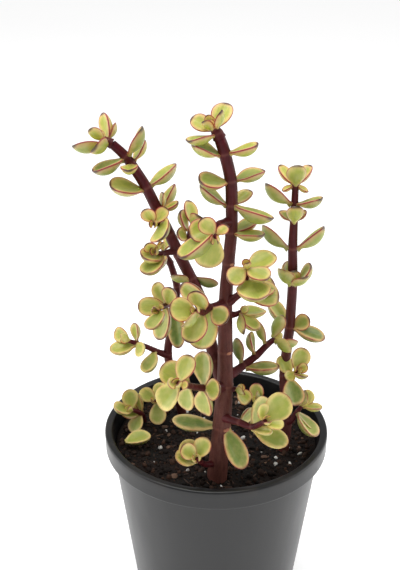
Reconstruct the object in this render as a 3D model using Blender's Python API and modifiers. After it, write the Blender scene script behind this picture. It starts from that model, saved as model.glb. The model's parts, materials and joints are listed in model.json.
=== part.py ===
"""Potted elephant bush: a variegated Portulacaria of four woody stems in a round nursery pot.

The origin is the centre of the flat face that the pot stands on, +Z is up, and the plant's front
looks along -Y. Run it with blender --background --python part.py, or from Blender's text editor.
"""

import math
from dataclasses import dataclass

import bmesh
import bpy
from mathutils import Matrix, Vector

MM = 0.001
GAP = 0.3 * MM  # left between pieces that touch

# Pot
RIM_RADIUS = 51.0 * MM
POT_HEIGHT = 88.0 * MM
BASE_RADIUS = 37.5 * MM
WALL = 1.3 * MM
FLOOR = 1.6 * MM
LIP_HEIGHT = 9.0 * MM
LIP_STAND = 2.2 * MM  # how far the lip stands out of the wall
BASE_CHAMFER = 1.5 * MM
DRAIN_RADIUS = 3.5 * MM
DRAIN_INSET = 8.0 * MM  # from the base's edge to a drain hole's middle
DRAIN_COUNT = 6

# Soil
SOIL_DROP = 7.0 * MM  # from the rim down to the soil
SOIL_EDGE = 1.5 * MM  # rounding of the soil's upper edge

# Plant, whose routes below are in millimetres on a pot of RIM_DRAWN, with z = 0 at the soil
RIM_DRAWN = 51.0 * MM
PLANT_SCALE = MM * RIM_RADIUS / RIM_DRAWN
STEM_GIRTH = 1.0  # thickness of every stem, as a share of that drawn
LEAF_WIDTH = 0.84  # share of a leaf's length
LEAF_BROADEST = 0.58  # where a leaf is broadest, from its foot
LEAF_THICKNESS = 0.22
LEAF_CUP = 0.10  # how far a leaf's edges rise over its middle, a share of its width
LEAF_TOP = 0.25  # share of the thickness that is above the edge
LEAF_ARCH = 0.10  # how far a leaf's tip bends up, a share of its length
LEAF_FOOT = 0.7  # how far from a stem's middle a leaf starts, a share of the stem's radius
TIP_LENGTH = 1.6  # of a shoot's bud, past its last leaves, as a share of its last radius
TIP_TAPER = 0.6  # the bud's end, as a share of that radius
RING_WALL = 0.8  # of the ring that joins a whorl's leaves round a stem, in millimetres
RING_HEIGHT = 3.0
BURIED = 9.0  # how deep a stem stands in the soil, in millimetres


@dataclass(frozen=True)
class Leaf:
    """A leaf on a stem: its place, its turn about the stem, its opening from it and its reach.

    at counts along the route's points. turn is 0 to the right, 90 to the back and 180 to the left,
    opening is 0 along the stem and 90 square to it, and roll twists the leaf about its own length,
    all in degrees and in steps of 15. reach goes from the stem's middle to the leaf's tip, in
    millimetres, and broad is the leaf's width as a share of the usual one.
    """

    at: float
    turn: float
    opening: float
    reach: float
    roll: float = 0.0
    broad: float = 1.0


@dataclass(frozen=True)
class Stem:
    """A stem along its route, from its first radius to its last, all in millimetres."""

    name: str
    route: tuple
    radii: tuple
    parent: str = "soil"
    bud: bool = True


def leaves(*rows):
    """The leaves of one whorl or shoot, each from its values in Leaf's order."""
    return tuple(Leaf(*row) for row in rows)


WOODY_STEMS = (
    Stem("main_stem",
         ((0, -31, -BURIED), (0, -31, 0), (2, -30, 30), (3, -28, 45), (3, -26, 60), (3, -24, 82),
          (4, -22, 98), (5, -21, 111), (5, -20, 121), (4.5, -20, 132), (2, -20, 143), (0, -20, 149)),
         (4.4, 4.4, 3.8, 3.4, 3.1, 2.8, 2.5, 2.4, 2.4, 2.4, 2.4, 2.2), bud=False),
    Stem("left_stem",
         ((3, -28, 42), (-1, -22, 53), (-4, -17, 65), (-6, -14, 75), (-11, -11, 86), (-16, -9, 96),
          (-20, -8, 105), (-24.5, -8, 115), (-29, -8, 125), (-33, -8, 132), (-37, -8, 138), (-42, -8, 143)),
         (2.6, 2.6, 2.6, 2.5, 2.4, 2.4, 2.3, 2.3, 2.2, 2.1, 2.0, 1.8), "main_stem", bud=False),
    Stem("right_stem",
         ((30, -11, -BURIED), (30.5, -10, 0), (31.5, -8, 17), (30, -5, 36), (31, -4, 53), (31.5, -4, 60),
          (32, -3, 80), (31.5, -2, 96), (31.5, -2, 108), (31.5, -2, 116), (31.5, -2, 122)),
         (2.5, 2.5, 2.4, 2.3, 2.2, 2.2, 2.1, 2.0, 1.7, 1.5, 1.4), bud=False),
    Stem("back_stem",
         ((-16, 20, -BURIED), (-16, 20, 0), (-20, 14, 23), (-22, 10, 39), (-20, 8, 54), (-18, 6, 68),
          (-17.5, 4, 76), (-20, 2, 87)),
         (2.2, 2.2, 2.0, 1.9, 1.8, 1.7, 1.6, 1.4), bud=False),
)

# Leaves that grow on the woody stems: the stem, the whorl's name and its leaves
WHORLS = (
    ("main_stem", "main_leaves_base",
     leaves((1.85, -45, 135, 20, 30, 0.6), (1.85, 180, 90, 21, -30, 0.5))),
    ("main_stem", "main_leaves_mid", leaves((7, -30, 90, 14), (7, 30, 75, 12), (7, 165, 90, 13))),
    ("main_stem", "main_leaves_upper",
     leaves((8.1, -30, 105, 18, -15, 0.8), (8.1, 180, 60, 15), (8.1, 45, 75, 11, 15, 0.8))),
    ("main_stem", "main_leaves_high", leaves((9, -150, 75, 15, -30, 0.8), (9, 15, 90, 14))),
    ("main_stem", "main_leaves_top", leaves((10, -165, 60, 14, -15), (10, -15, 90, 14, 0, 0.7))),
    ("left_stem", "left_leaves_low", leaves((4, -135, 60, 10), (4, 30, 135, 12))),
    ("left_stem", "left_leaves_mid",
     leaves((7, 45, 75, 14, -15, 0.7), (7, 15, 45, 8), (7, -15, 90, 10, 15, 0.6))),
    ("left_stem", "left_leaves_upper", leaves((8, -150, 60, 16, -30, 0.9), (8, 30, 90, 16, 0, 0.8))),
    ("left_stem", "left_leaves_high", leaves((9.5, -90, 90, 12, -30, 0.8), (9.5, 30, 75, 11))),
    ("left_stem", "left_leaves_top", leaves((10, -15, 75, 15, 0, 0.8), (10, -150, 75, 15, -15, 0.8))),
    ("right_stem", "right_leaves_low",
     leaves((5, -15, 105, 16, 15, 0.7), (5, -15, 60, 10, 60), (5, 135, 60, 15, 0, 0.7))),
    ("right_stem", "right_leaves_mid",
     leaves((6, -135, 45, 11, 0, 1.1), (6, -60, 60, 10, 0, 1.1), (6, -90, 30, 8),
            (6, 135, 30, 10), (6, -15, 45, 12, 15))),
    ("right_stem", "right_leaves_upper", leaves((7, 165, 60, 16, 30, 0.7), (7, 0, 60, 16, -15, 0.7))),
    ("right_stem", "right_leaves_high", leaves((8, -90, 30, 9), (8, 135, 75, 8), (8, 30, 60, 7))),
    ("right_stem", "right_leaves_top", leaves((9, 180, 60, 15, 15, 0.8), (9, -30, 75, 13, 0, 0.8))),
)

# Young shoots and the stems' growing tips, each one piece with its own leaves
SHOOTS = (
    (Stem("main_crown", ((0, -20, 149), (-1, -20, 151), (-2, -20, 152.5)), (2.1, 1.4), "main_stem"),
     leaves((1, -150, 75, 13), (2, 150, 45, 10, -15), (2, 45, 75, 12, 45, 0.9), (2, -30, 60, 9),
            (2, -120, 30, 6), (2, 60, 15, 6))),
    (Stem("left_crown", ((-42, -8, 143), (-44, -8, 144), (-45, -8, 145)), (1.7, 1.1), "left_stem"),
     leaves((1, 45, 60, 12, 15, 0.7), (1, 45, 90, 9, 0, 0.8), (1, -105, 75, 11), (1, -150, 45, 14, 0, 0.8),
            (2, -105, 30, 8, 0, 0.8))),
    (Stem("right_crown", ((31.5, -2, 122), (31.5, -2, 124), (31.5, -2, 125.5)), (1.3, 0.9), "right_stem"),
     leaves((1, -90, 15, 9, 0, 1.1), (1, 135, 60, 11, 0, 0.7), (1, 45, 60, 11, 0, 0.7), (1, 180, 120, 6),
            (1, -15, 120, 6))),
    (Stem("back_crown", ((-20, 2, 87), (-22, 2, 91), (-23, 2, 93.5)), (1.3, 0.9), "back_stem"),
     leaves((1, -120, 90, 12), (2, 45, 75, 9))),
    (Stem("high_shoot", ((5, -20, 115), (2, -24, 116), (-0.5, -30, 117.5), (-1.5, -36, 115.5)), (1.7, 1.1),
          "main_stem"),
     leaves((3, 120, 105, 9, 30), (3, 45, 90, 8, -15, 0.7), (3, -120, 60, 13, -15, 1.2),
            (2, -150, 45, 20, 75, 0.8), (2, 180, 60, 12, 30))),
    (Stem("centre_left_shoot",
          ((3, -24, 81), (0, -28, 82), (-3.5, -33, 83.5), (-6, -38, 84), (-8.5, -43, 87)),
          (1.8, 1.1), "main_stem"),
     leaves((2, -45, 75, 11, -30), (2, -120, 75, 17), (2, 120, 90, 15, 0, 0.7), (3, 75, 60, 11),
            (3, -120, 60, 14, 0, 0.9), (4, 165, 45, 12), (4, -120, 45, 10, 60))),
    (Stem("mid_right_shoot",
          ((3, -24, 81), (6, -26, 84), (9.5, -30, 89.5), (10.5, -35, 97), (10.5, -37, 102.5)),
          (1.7, 1.0), "main_stem"),
     leaves((4, -135, 90, 11, -30, 0.9), (4, 30, 90, 13), (4, -45, 90, 11), (3, -75, 75, 15, 0, 1.1),
            (2, 0, 90, 15), (2, 30, 90, 14))),
    (Stem("small_right_shoot", ((3, -25, 76), (7, -24, 76), (9, -23, 76.5)), (1.2, 0.9), "main_stem"),
     leaves((2, 30, 30, 12), (2, -30, 90, 11, 60), (2, -30, 120, 10))),
    (Stem("right_branch",
          ((3, -27, 49), (7, -25, 49.5), (11, -22, 51), (16.5, -19, 54), (21, -17, 58), (24, -15, 59.5)),
          (2.0, 1.2), "main_stem"),
     leaves((2, 180, 75, 12), (2, -30, 45, 15, 60, 0.6), (3, -165, 75, 11, -30), (4, 180, 75, 11),
            (5, -45, 90, 10), (5, -165, 45, 11), (5, 0, 45, 11))),
    (Stem("front_low_shoot",
          ((2, -30, 31), (4.5, -34, 32), (9, -38, 33), (14, -42, 33.5), (18.5, -48, 40)),
          (1.8, 1.1), "main_stem"),
     leaves((4, 60, 60, 14), (4, 135, 60, 8), (4, -15, 60, 8, -15), (3, 75, 90, 14),
            (3, -15, 60, 16, 0, 0.7), (3, -45, 15, 12, 30, 0.4), (2, 60, 90, 9))),
    (Stem("centre_shoot",
          ((3, -28, 43), (0, -32, 46.5), (-6, -37, 49), (-11.5, -43, 53.5), (-15.5, -50, 59)),
          (1.9, 1.1), "main_stem"),
     leaves((2, 60, 90, 15, 0, 0.9), (2, -135, 120, 13), (2, -30, 90, 10, 0, 1.2), (3, 120, 60, 14),
            (3, -135, 120, 11), (4, 60, 105, 12, 0, 0.9), (4, -150, 105, 13), (4, 180, 30, 6),
            (4, -30, 75, 5))),
    (Stem("low_sprout", ((3, -28, 43.5), (6.5, -29, 43.5), (8, -29.5, 44)), (1.1, 0.8), "main_stem"),
     leaves((2, -15, 75, 8, 30, 1.1), (2, -105, 45, 6))),
    (Stem("front_sprout", ((0, -31, 8), (-5, -36, 10.5), (-7.5, -39, 14.5), (-8.5, -42, 17.5)), (1.4, 1.0),
          "main_stem"),
     leaves((3, 135, 60, 9), (3, 60, 75, 10), (2, 120, 60, 11), (2, 165, 45, 12, 0, 0.8))),
    (Stem("left_front_shoot", ((-22.5, -8, 110.5), (-24.5, -12, 111), (-25.5, -15, 112)), (1.3, 0.9),
          "left_stem"),
     leaves((2, 105, 60, 8), (2, 45, 105, 8, 0, 0.9), (1, -45, 45, 12, -15, 1.2))),
    (Stem("left_outer_shoot", ((-17, -9, 98), (-20, -11, 98), (-23, -13.5, 98.5), (-25, -17, 100.5)),
          (1.3, 0.9), "left_stem"),
     leaves((3, 105, 30, 7), (3, 60, 120, 4), (2, -150, 15, 11), (2, -120, 45, 13))),
    (Stem("left_inner_shoot",
          ((-16, -9, 96), (-13.5, -8, 99), (-12, -8, 103), (-11.5, -9, 106.5), (-10, -10, 109.5)),
          (1.3, 0.9), "left_stem"),
     leaves((3, 165, 45, 10, 0, 0.8), (4, 120, 75, 11, 0, 0.8), (4, -105, 30, 9), (2, -150, 60, 8, -45))),
    (Stem("right_low_shoot", ((30, -5, 36), (32, -11, 39), (34, -14, 43)), (1.4, 0.9), "right_stem"),
     leaves((1, -75, 90, 13), (1, 120, 105, 10), (2, -135, 90, 7), (2, 90, 60, 11), (2, 30, 45, 6),
            (2, -75, 45, 8))),
    (Stem("right_base_shoot", ((31.5, -9, 14), (33.5, -10, 16), (36, -10, 20.5), (38, -10, 23.5)),
          (1.4, 0.9), "right_stem"),
     leaves((3, -165, 30, 8), (3, 75, 45, 8), (3, -15, 60, 9), (2, -30, 105, 10), (2, -45, 105, 14))),
    (Stem("back_upper_shoot", ((-18, 6, 67), (-19.5, 2, 68.5), (-22, -6, 71), (-25, -12, 72.5)),
          (1.5, 1.0), "back_stem"),
     leaves((2, 165, 75, 12, 0, 0.9), (2, 105, 105, 11, 0, 0.8), (2, 45, 75, 10), (2, -105, 75, 15, 30, 0.9),
            (1, -90, 90, 20, 0, 0.5), (3, -90, 45, 11, 0, 1.2), (3, 120, 15, 4), (3, 15, 75, 4))),
    (Stem("back_left_shoot",
          ((-22, 10, 38), (-25, 8, 40), (-28, 7, 42), (-31.5, 5, 45), (-36, 3, 48), (-39, 2, 49.5)),
          (1.5, 0.9), "back_stem"),
     leaves((5, 105, 60, 9), (5, -15, 30, 6), (4, -165, 45, 12), (4, 45, 75, 9), (4, -75, 105, 8, 0, 1.1),
            (2, -105, 75, 14, -30, 0.7))),
    (Stem("left_sprout", ((-23, 22, -BURIED), (-24, 20, 1), (-26, 16, 7.5), (-28, 12, 12)), (1.6, 1.0)),
     leaves((3, 135, 75, 9), (3, 60, 90, 9), (3, -90, 105, 11), (3, -135, 15, 4))),
    (Stem("outer_sprout", ((-34, 14, -BURIED), (-34, 13, 0), (-35, 9, 7), (-39, 6, 11)), (1.5, 1.0)),
     leaves((3, 60, 60, 10, 60), (3, -165, 15, 10), (2, 75, 45, 11, -15, 0.6), (2, -120, 90, 10),
            (2, 165, 45, 11))),
    (Stem("back_sprout", ((20, 26, -BURIED), (20.5, 24, -1.5), (20, 24, 3)), (1.2, 0.9)),
     leaves((2, 60, 30, 10), (2, -15, 15, 7))),
)

FALLEN_LEAF_PLACE = (-41.5, -8, 0.3)  # the leaf's base, in millimetres
FALLEN_LEAF_LENGTH = 12.0
FALLEN_LEAF_HEADING = 20.0

# Fineness of the solids
POT_STEPS = 40
STEM_POINTS = 2  # between two points of a route
STEM_SIDES = 2  # bevel_resolution of a woody stem
SHOOT_SIDES = 1
LEAF_SIDES = 8
LEAF_RINGS = 4
RING_SIDES = 10
DRAIN_SIDES = 12
GROWTH_STEP = 0.5  # how far along a route its direction is taken, in points
ON_AXIS = 0.01  # a unit sphere's point this near its axis is a pole
AXIS_MERGE = 0.01 * MM
CAP_MERGE = 0.001 * MM


def finish_material(name, colour, roughness, metallic=0.0):
    """A plain finish: its linear colour, roughness and metallic value."""
    material = bpy.data.materials.new(name)
    material.use_nodes = True
    shader = material.node_tree.nodes["Principled BSDF"]
    shader.inputs["Base Color"].default_value = (*colour, 1.0)
    shader.inputs["Roughness"].default_value = roughness
    shader.inputs["Metallic"].default_value = metallic
    return material


def add_object(name, mesh, collection, material=None):
    """A mesh as a named object of a collection."""
    piece = bpy.data.objects.new(name, mesh)
    collection.objects.link(piece)
    if material:
        mesh.materials.append(material)
    return piece


def hide_helpers(collection):
    """A collection of cutters and helpers, which no render and no build shows."""
    collection.hide_render = True
    for helper in collection.all_objects:
        helper.hide_render = True
        helper.display_type = "WIRE"


def boolean(piece, name, operation, operand):
    """Cut or join a piece with one object, or with a whole collection of them."""
    modifier = piece.modifiers.new(name, "BOOLEAN")
    modifier.operation = operation
    modifier.solver = "EXACT"
    if isinstance(operand, bpy.types.Collection):
        modifier.operand_type = "COLLECTION"
        modifier.collection = operand
    else:
        modifier.object = operand
    return modifier


def turned(name, profile, collection, material):
    """A profile of (radius, height) points turned about Z, its outer side from top to bottom."""
    mesh = bpy.data.meshes.new(name)
    shape = bmesh.new()
    points = [shape.verts.new((radius, 0.0, height)) for radius, height in profile]
    for start, end in zip(points, points[1:]):
        shape.edges.new((start, end))
    shape.to_mesh(mesh)
    shape.free()
    piece = add_object(name, mesh, collection, material)
    screw = piece.modifiers.new("Turn", "SCREW")
    screw.steps = POT_STEPS
    screw.render_steps = POT_STEPS
    screw.use_merge_vertices = True
    screw.merge_threshold = AXIS_MERGE
    screw.use_smooth_shade = True
    return piece


def wall_radius(height):
    """The pot's outer radius at a height, under the lip."""
    top = RIM_RADIUS - LIP_STAND
    return BASE_RADIUS + (top - BASE_RADIUS) * height / POT_HEIGHT


def soil_height():
    """The height of the soil's top."""
    return POT_HEIGHT - SOIL_DROP


def make_pot(parts, helpers):
    """The pot: a thin tapered wall, a rolled lip, a flat floor and drain holes round its edge."""
    lip_base = POT_HEIGHT - LIP_HEIGHT
    rounding = WALL / 2
    profile = (
        (0.0, FLOOR),
        (wall_radius(FLOOR) - WALL, FLOOR),
        (wall_radius(lip_base) - WALL, lip_base),
        (wall_radius(POT_HEIGHT) - WALL, POT_HEIGHT - rounding),
        (wall_radius(POT_HEIGHT) - WALL + rounding, POT_HEIGHT),
        (RIM_RADIUS - rounding, POT_HEIGHT),
        (RIM_RADIUS, POT_HEIGHT - rounding),
        (RIM_RADIUS - rounding, lip_base),
        (wall_radius(lip_base), lip_base - rounding),
        (wall_radius(BASE_CHAMFER), BASE_CHAMFER),
        (BASE_RADIUS - BASE_CHAMFER, 0.0),
        (0.0, 0.0),
    )
    pot = turned("pot", profile, parts, finish_material("black_plastic", (0.012, 0.012, 0.013), 0.3))
    holes = bmesh.new()
    ring = BASE_RADIUS - DRAIN_INSET
    for index in range(DRAIN_COUNT):
        place = Matrix.Rotation(math.tau * (index + 0.5) / DRAIN_COUNT, 4, "Z") @ Matrix.Translation(
            (ring, 0.0, FLOOR / 2)
        )
        bmesh.ops.create_cone(holes, cap_ends=True, segments=DRAIN_SIDES, radius1=DRAIN_RADIUS,
                              radius2=DRAIN_RADIUS, depth=3 * FLOOR, matrix=place)
    mesh = bpy.data.meshes.new("drain_holes")
    holes.to_mesh(mesh)
    holes.free()
    boolean(pot, "Drain", "DIFFERENCE", add_object("drain_holes", mesh, helpers))
    return pot


def stem_radii(stem):
    """A radius for each point of a stem's route: as given, or evenly from its first to its last."""
    count = len(stem.route)
    if len(stem.radii) == count:
        return stem.radii
    first, last = stem.radii
    return tuple(first + (last - first) * i / (count - 1) for i in range(count))


def stem_at(stem, at):
    """(place, radius) in metres at a point of a stem's smooth route, which at may lie between."""
    route = [Vector(point) for point in stem.route]
    radii = stem_radii(stem)
    span = max(0, min(int(at), len(route) - 2))
    t = at - span
    before, after = route[max(span - 1, 0)], route[min(span + 2, len(route) - 1)]
    place = catmull_rom(before, route[span], route[span + 1], after, t)
    radius = radii[span] + (radii[span + 1] - radii[span]) * t
    lift = Vector((0.0, 0.0, soil_height()))
    return place * PLANT_SCALE + lift, radius * PLANT_SCALE * STEM_GIRTH


def smooth_route(stem):
    """(points, radii) along a stem in metres, with a blunt bud past its end where it has one."""
    spans = len(stem.route) - 1
    points, radii = map(list, zip(*(stem_at(stem, i / STEM_POINTS) for i in range(spans * STEM_POINTS + 1))))
    if stem.bud:
        points.append(points[-1] + (points[-1] - points[-2]).normalized() * radii[-1] * TIP_LENGTH)
        radii.append(radii[-1] * TIP_TAPER)
    return points, radii


def catmull_rom(before, start, end, after, t):
    """A point between start and end on the smooth curve through all four."""
    return 0.5 * (
        2 * start + (end - before) * t
        + (2 * before - 5 * start + 4 * end - after) * t ** 2
        + (3 * start - before - 3 * end + after) * t ** 3
    )


def tube(name, points, radii, sides, collection, material=None):
    """A closed tube along points, as a mesh with its caps joined on."""
    curve = bpy.data.curves.new(name, "CURVE")
    curve.dimensions = "3D"
    curve.bevel_depth = 1.0
    curve.bevel_resolution = sides
    curve.use_fill_caps = True
    spline = curve.splines.new("POLY")
    spline.points.add(len(points) - 1)
    for control, point, radius in zip(spline.points, points, radii):
        control.co = (*point, 1.0)
        control.radius = radius
    guide = bpy.data.objects.new(name + "_guide", curve)
    bpy.context.scene.collection.objects.link(guide)
    bpy.context.view_layer.update()
    mesh = bpy.data.meshes.new_from_object(guide.evaluated_get(bpy.context.evaluated_depsgraph_get()))
    mesh.name = name
    bpy.data.objects.remove(guide)
    shape = bmesh.new()
    shape.from_mesh(mesh)
    bmesh.ops.remove_doubles(shape, verts=shape.verts, dist=CAP_MERGE)
    bmesh.ops.recalc_face_normals(shape, faces=shape.faces)
    shape.to_mesh(mesh)
    shape.free()
    mesh.materials.clear()
    mesh.shade_smooth()
    return add_object(name, mesh, collection, material)


def clearance_body(stem, sides, collection):
    """The room that a stem takes: its tube, wider and longer by the gap."""
    points, radii = smooth_route(stem)
    points[0] = points[0] + (points[0] - points[1]).normalized() * GAP
    points[-1] = points[-1] + (points[-1] - points[-2]).normalized() * GAP
    return tube(stem.name + "_room", points, [r + GAP for r in radii], sides, collection)


def growth_frame(stem, at):
    """(place, axis, first, second, radius) of a stem at a point of its route, in metres.

    first and second are square to the axis: X and Y, tilted as little as the axis asks.
    """
    place, radius = stem_at(stem, at)
    ahead, _ = stem_at(stem, min(at + GROWTH_STEP, len(stem.route) - 1))
    behind, _ = stem_at(stem, max(at - GROWTH_STEP, 0))
    axis = (ahead - behind).normalized()
    tilt = Vector((0.0, 0.0, 1.0)).rotation_difference(axis)
    return place, axis, tilt @ Vector((1.0, 0.0, 0.0)), tilt @ Vector((0.0, 1.0, 0.0)), radius


def leaf_outline(share):
    """The half-width of a leaf along its length, from its narrow foot to its round tip."""
    if share < LEAF_BROADEST:
        return math.sin(math.pi / 2 * share / LEAF_BROADEST)
    past = min((share - LEAF_BROADEST) / (1.0 - LEAF_BROADEST), 1.0)
    return math.sqrt(1.0 - past ** 2)


def leaf_mesh(name, length, broad=1.0):
    """A leaf along +X with its upper face to +Z: nearly flat and cupped above, full below."""
    shape = bmesh.new()
    bmesh.ops.create_uvsphere(shape, u_segments=LEAF_SIDES, v_segments=LEAF_RINGS, radius=1.0)
    width = length * LEAF_WIDTH * broad
    thickness = length * LEAF_THICKNESS
    for vert in shape.verts:
        share = (vert.co.z + 1.0) / 2
        round_width = math.hypot(vert.co.x, vert.co.y)
        across = vert.co.x / round_width if round_width > ON_AXIS else 0.0
        above = vert.co.y / round_width if round_width > ON_AXIS else 0.0
        outline = leaf_outline(share) if round_width > ON_AXIS else 0.0
        swell = LEAF_TOP if above > 0 else 1.0 - LEAF_TOP
        rise = above * swell * thickness * outline + LEAF_CUP * width * (across * outline) ** 2
        vert.co = (share * length, across * outline * width / 2, rise + LEAF_ARCH * length * share ** 2)
    mesh = bpy.data.meshes.new(name)
    shape.to_mesh(mesh)
    shape.free()
    mesh.shade_smooth()
    return mesh


def place_leaf(name, stem, leaf, collection):
    """A leaf on its stem, with its upper face towards the stem's tip."""
    place, axis, first, second, radius = growth_frame(stem, leaf.at)
    turn = math.radians(leaf.turn)
    opening = math.radians(leaf.opening)
    outward = first * math.cos(turn) + second * math.sin(turn)
    tip = place + (axis * math.cos(opening) + outward * math.sin(opening)) * leaf.reach * PLANT_SCALE
    foot = place + outward * radius * LEAF_FOOT
    along = (tip - foot).normalized()
    side = axis.cross(along).normalized()
    twist = Matrix.Rotation(math.radians(leaf.roll), 3, along)
    side = twist @ side
    upper = along.cross(side)
    piece = add_object(name, leaf_mesh(name, (tip - foot).length, leaf.broad), collection)
    piece.matrix_world = Matrix((along, side, upper)).transposed().to_4x4()
    piece.matrix_world.translation = foot
    return piece


def grow(body, stem, grown, parent_room, helpers):
    """Join a stem's or a ring's body with its leaves, and cut what they grow from out of them."""
    group = bpy.data.collections.new(body.name + "_leaves")
    helpers.children.link(group)
    for number, leaf in enumerate(grown):
        place_leaf(f"{body.name}_leaf_{number}", stem, leaf, group)
    boolean(body, "Leaves", "UNION", group)
    if parent_room:
        boolean(body, "Seat", "DIFFERENCE", parent_room)
    return body


def whorl_ring(name, stem, at, collection, material):
    """A short collar round a stem, which joins the leaves that grow at one node."""
    place, axis, _, _, radius = growth_frame(stem, at)
    outer = radius + RING_WALL * PLANT_SCALE
    turn = Vector((0.0, 0.0, 1.0)).rotation_difference(axis).to_matrix().to_4x4()
    shape = bmesh.new()
    bmesh.ops.create_cone(shape, cap_ends=True, segments=RING_SIDES, radius1=outer, radius2=outer,
                          depth=RING_HEIGHT * PLANT_SCALE, matrix=Matrix.Translation(place) @ turn)
    mesh = bpy.data.meshes.new(name)
    shape.to_mesh(mesh)
    shape.free()
    mesh.shade_smooth()
    return add_object(name, mesh, collection, material)


def make_soil(rooms, parts, helpers):
    """The potting soil: it fills the pot to under the rim and holds the stems in sockets."""
    top = soil_height()
    low = FLOOR + GAP
    profile = (
        (0.0, top),
        (wall_radius(top) - WALL - GAP - SOIL_EDGE, top),
        (wall_radius(top - SOIL_EDGE) - WALL - GAP, top - SOIL_EDGE),
        (wall_radius(low) - WALL - GAP, low),
        (0.0, low),
    )
    soil = turned("soil", profile, parts, finish_material("potting_soil", (0.018, 0.011, 0.008), 0.95))
    sockets = bpy.data.collections.new("sockets")
    helpers.children.link(sockets)
    for room in rooms:
        helpers.objects.unlink(room)
        sockets.objects.link(room)
    boolean(soil, "Sockets", "DIFFERENCE", sockets)
    return soil


def place_fallen_leaf(parts, material):
    """A dropped leaf that lies on the soil."""
    mesh = leaf_mesh("fallen_leaf", FALLEN_LEAF_LENGTH * PLANT_SCALE)
    piece = add_object("fallen_leaf", mesh, parts, material)
    lowest = min(vert.co.z for vert in mesh.vertices)
    x, y, z = (value * PLANT_SCALE for value in FALLEN_LEAF_PLACE)
    piece.matrix_world = Matrix.Translation((x, y, z - lowest + soil_height())) @ Matrix.Rotation(
        math.radians(FALLEN_LEAF_HEADING), 4, "Z"
    )
    return piece


def main():
    """Build the pot, the stems, their leaves and shoots, the soil and the dropped leaf."""
    for piece in list(bpy.data.objects):
        bpy.data.objects.remove(piece)
    parts = bpy.data.collections.new("potted_elephant_bush")
    helpers = bpy.data.collections.new("helpers")
    for collection in (parts, helpers):
        bpy.context.scene.collection.children.link(collection)
    bark = finish_material("bark", (0.075, 0.018, 0.018), 0.5)
    green = finish_material("leaf_green", (0.30, 0.38, 0.06), 0.35)

    make_pot(parts, helpers)
    stems = {stem.name: stem for stem in WOODY_STEMS}
    rooms = {stem.name: clearance_body(stem, STEM_SIDES, helpers) for stem in WOODY_STEMS}
    for stem in WOODY_STEMS:
        points, radii = smooth_route(stem)
        woody = tube(stem.name, points, radii, STEM_SIDES, parts, bark)
        if stem.parent in rooms:
            boolean(woody, "Fork", "DIFFERENCE", rooms[stem.parent])
    for stem_name, name, grown in WHORLS:
        stem = stems[stem_name]
        ring = whorl_ring(name, stem, grown[0].at, parts, green)
        grow(ring, stem, grown, rooms[stem_name], helpers)
    for stem, grown in SHOOTS:
        points, radii = smooth_route(stem)
        shoot = tube(stem.name, points, radii, SHOOT_SIDES, parts, green)
        grow(shoot, stem, grown, rooms.get(stem.parent), helpers)
        if stem.parent == "soil":
            rooms[stem.name] = clearance_body(stem, SHOOT_SIDES, helpers)
    rooted = [rooms[stem.name] for stem in WOODY_STEMS if stem.parent == "soil"]
    rooted += [rooms[stem.name] for stem, _ in SHOOTS if stem.parent == "soil"]
    make_soil(rooted, parts, helpers)
    place_fallen_leaf(parts, green)
    hide_helpers(helpers)


main()
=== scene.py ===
"""Potted elephant bush, dressed: a variegated Portulacaria with waxy leaves on burgundy stems.

Every size is in millimetres until it is placed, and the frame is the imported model's own: metres,
+Z up, with the origin under the middle of the pot and the plant's front towards -Y.
"""

import sys
import json
import logging
import math
from dataclasses import dataclass, field
from enum import Enum
from typing import Any, Iterable, Sequence

import bmesh
import bpy
import numpy as np
from mathutils import Matrix, Quaternion, Vector

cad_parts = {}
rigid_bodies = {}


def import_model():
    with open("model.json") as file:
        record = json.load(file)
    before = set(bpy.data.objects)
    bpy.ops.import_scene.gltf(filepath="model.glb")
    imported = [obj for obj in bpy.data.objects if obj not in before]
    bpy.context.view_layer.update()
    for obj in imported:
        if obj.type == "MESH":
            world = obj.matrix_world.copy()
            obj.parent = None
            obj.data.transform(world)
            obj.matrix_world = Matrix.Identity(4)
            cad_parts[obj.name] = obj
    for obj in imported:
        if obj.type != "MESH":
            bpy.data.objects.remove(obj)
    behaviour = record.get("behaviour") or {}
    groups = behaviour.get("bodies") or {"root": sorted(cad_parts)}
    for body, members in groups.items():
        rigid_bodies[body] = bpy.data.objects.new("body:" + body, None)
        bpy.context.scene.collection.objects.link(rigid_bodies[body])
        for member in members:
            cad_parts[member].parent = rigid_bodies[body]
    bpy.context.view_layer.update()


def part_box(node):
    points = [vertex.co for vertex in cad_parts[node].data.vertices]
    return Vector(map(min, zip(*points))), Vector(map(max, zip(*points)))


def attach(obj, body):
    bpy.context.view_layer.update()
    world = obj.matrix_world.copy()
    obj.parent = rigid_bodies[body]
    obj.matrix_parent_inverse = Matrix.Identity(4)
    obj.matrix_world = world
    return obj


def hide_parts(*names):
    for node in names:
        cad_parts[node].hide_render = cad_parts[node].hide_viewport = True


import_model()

MM = 0.001
SQUARE_CM = 10000.0  # in a square metre
LOG = logging.getLogger("elephant_bush")

Colour = tuple[float, float, float]


# ---- Node trees as Python expressions ----


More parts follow.
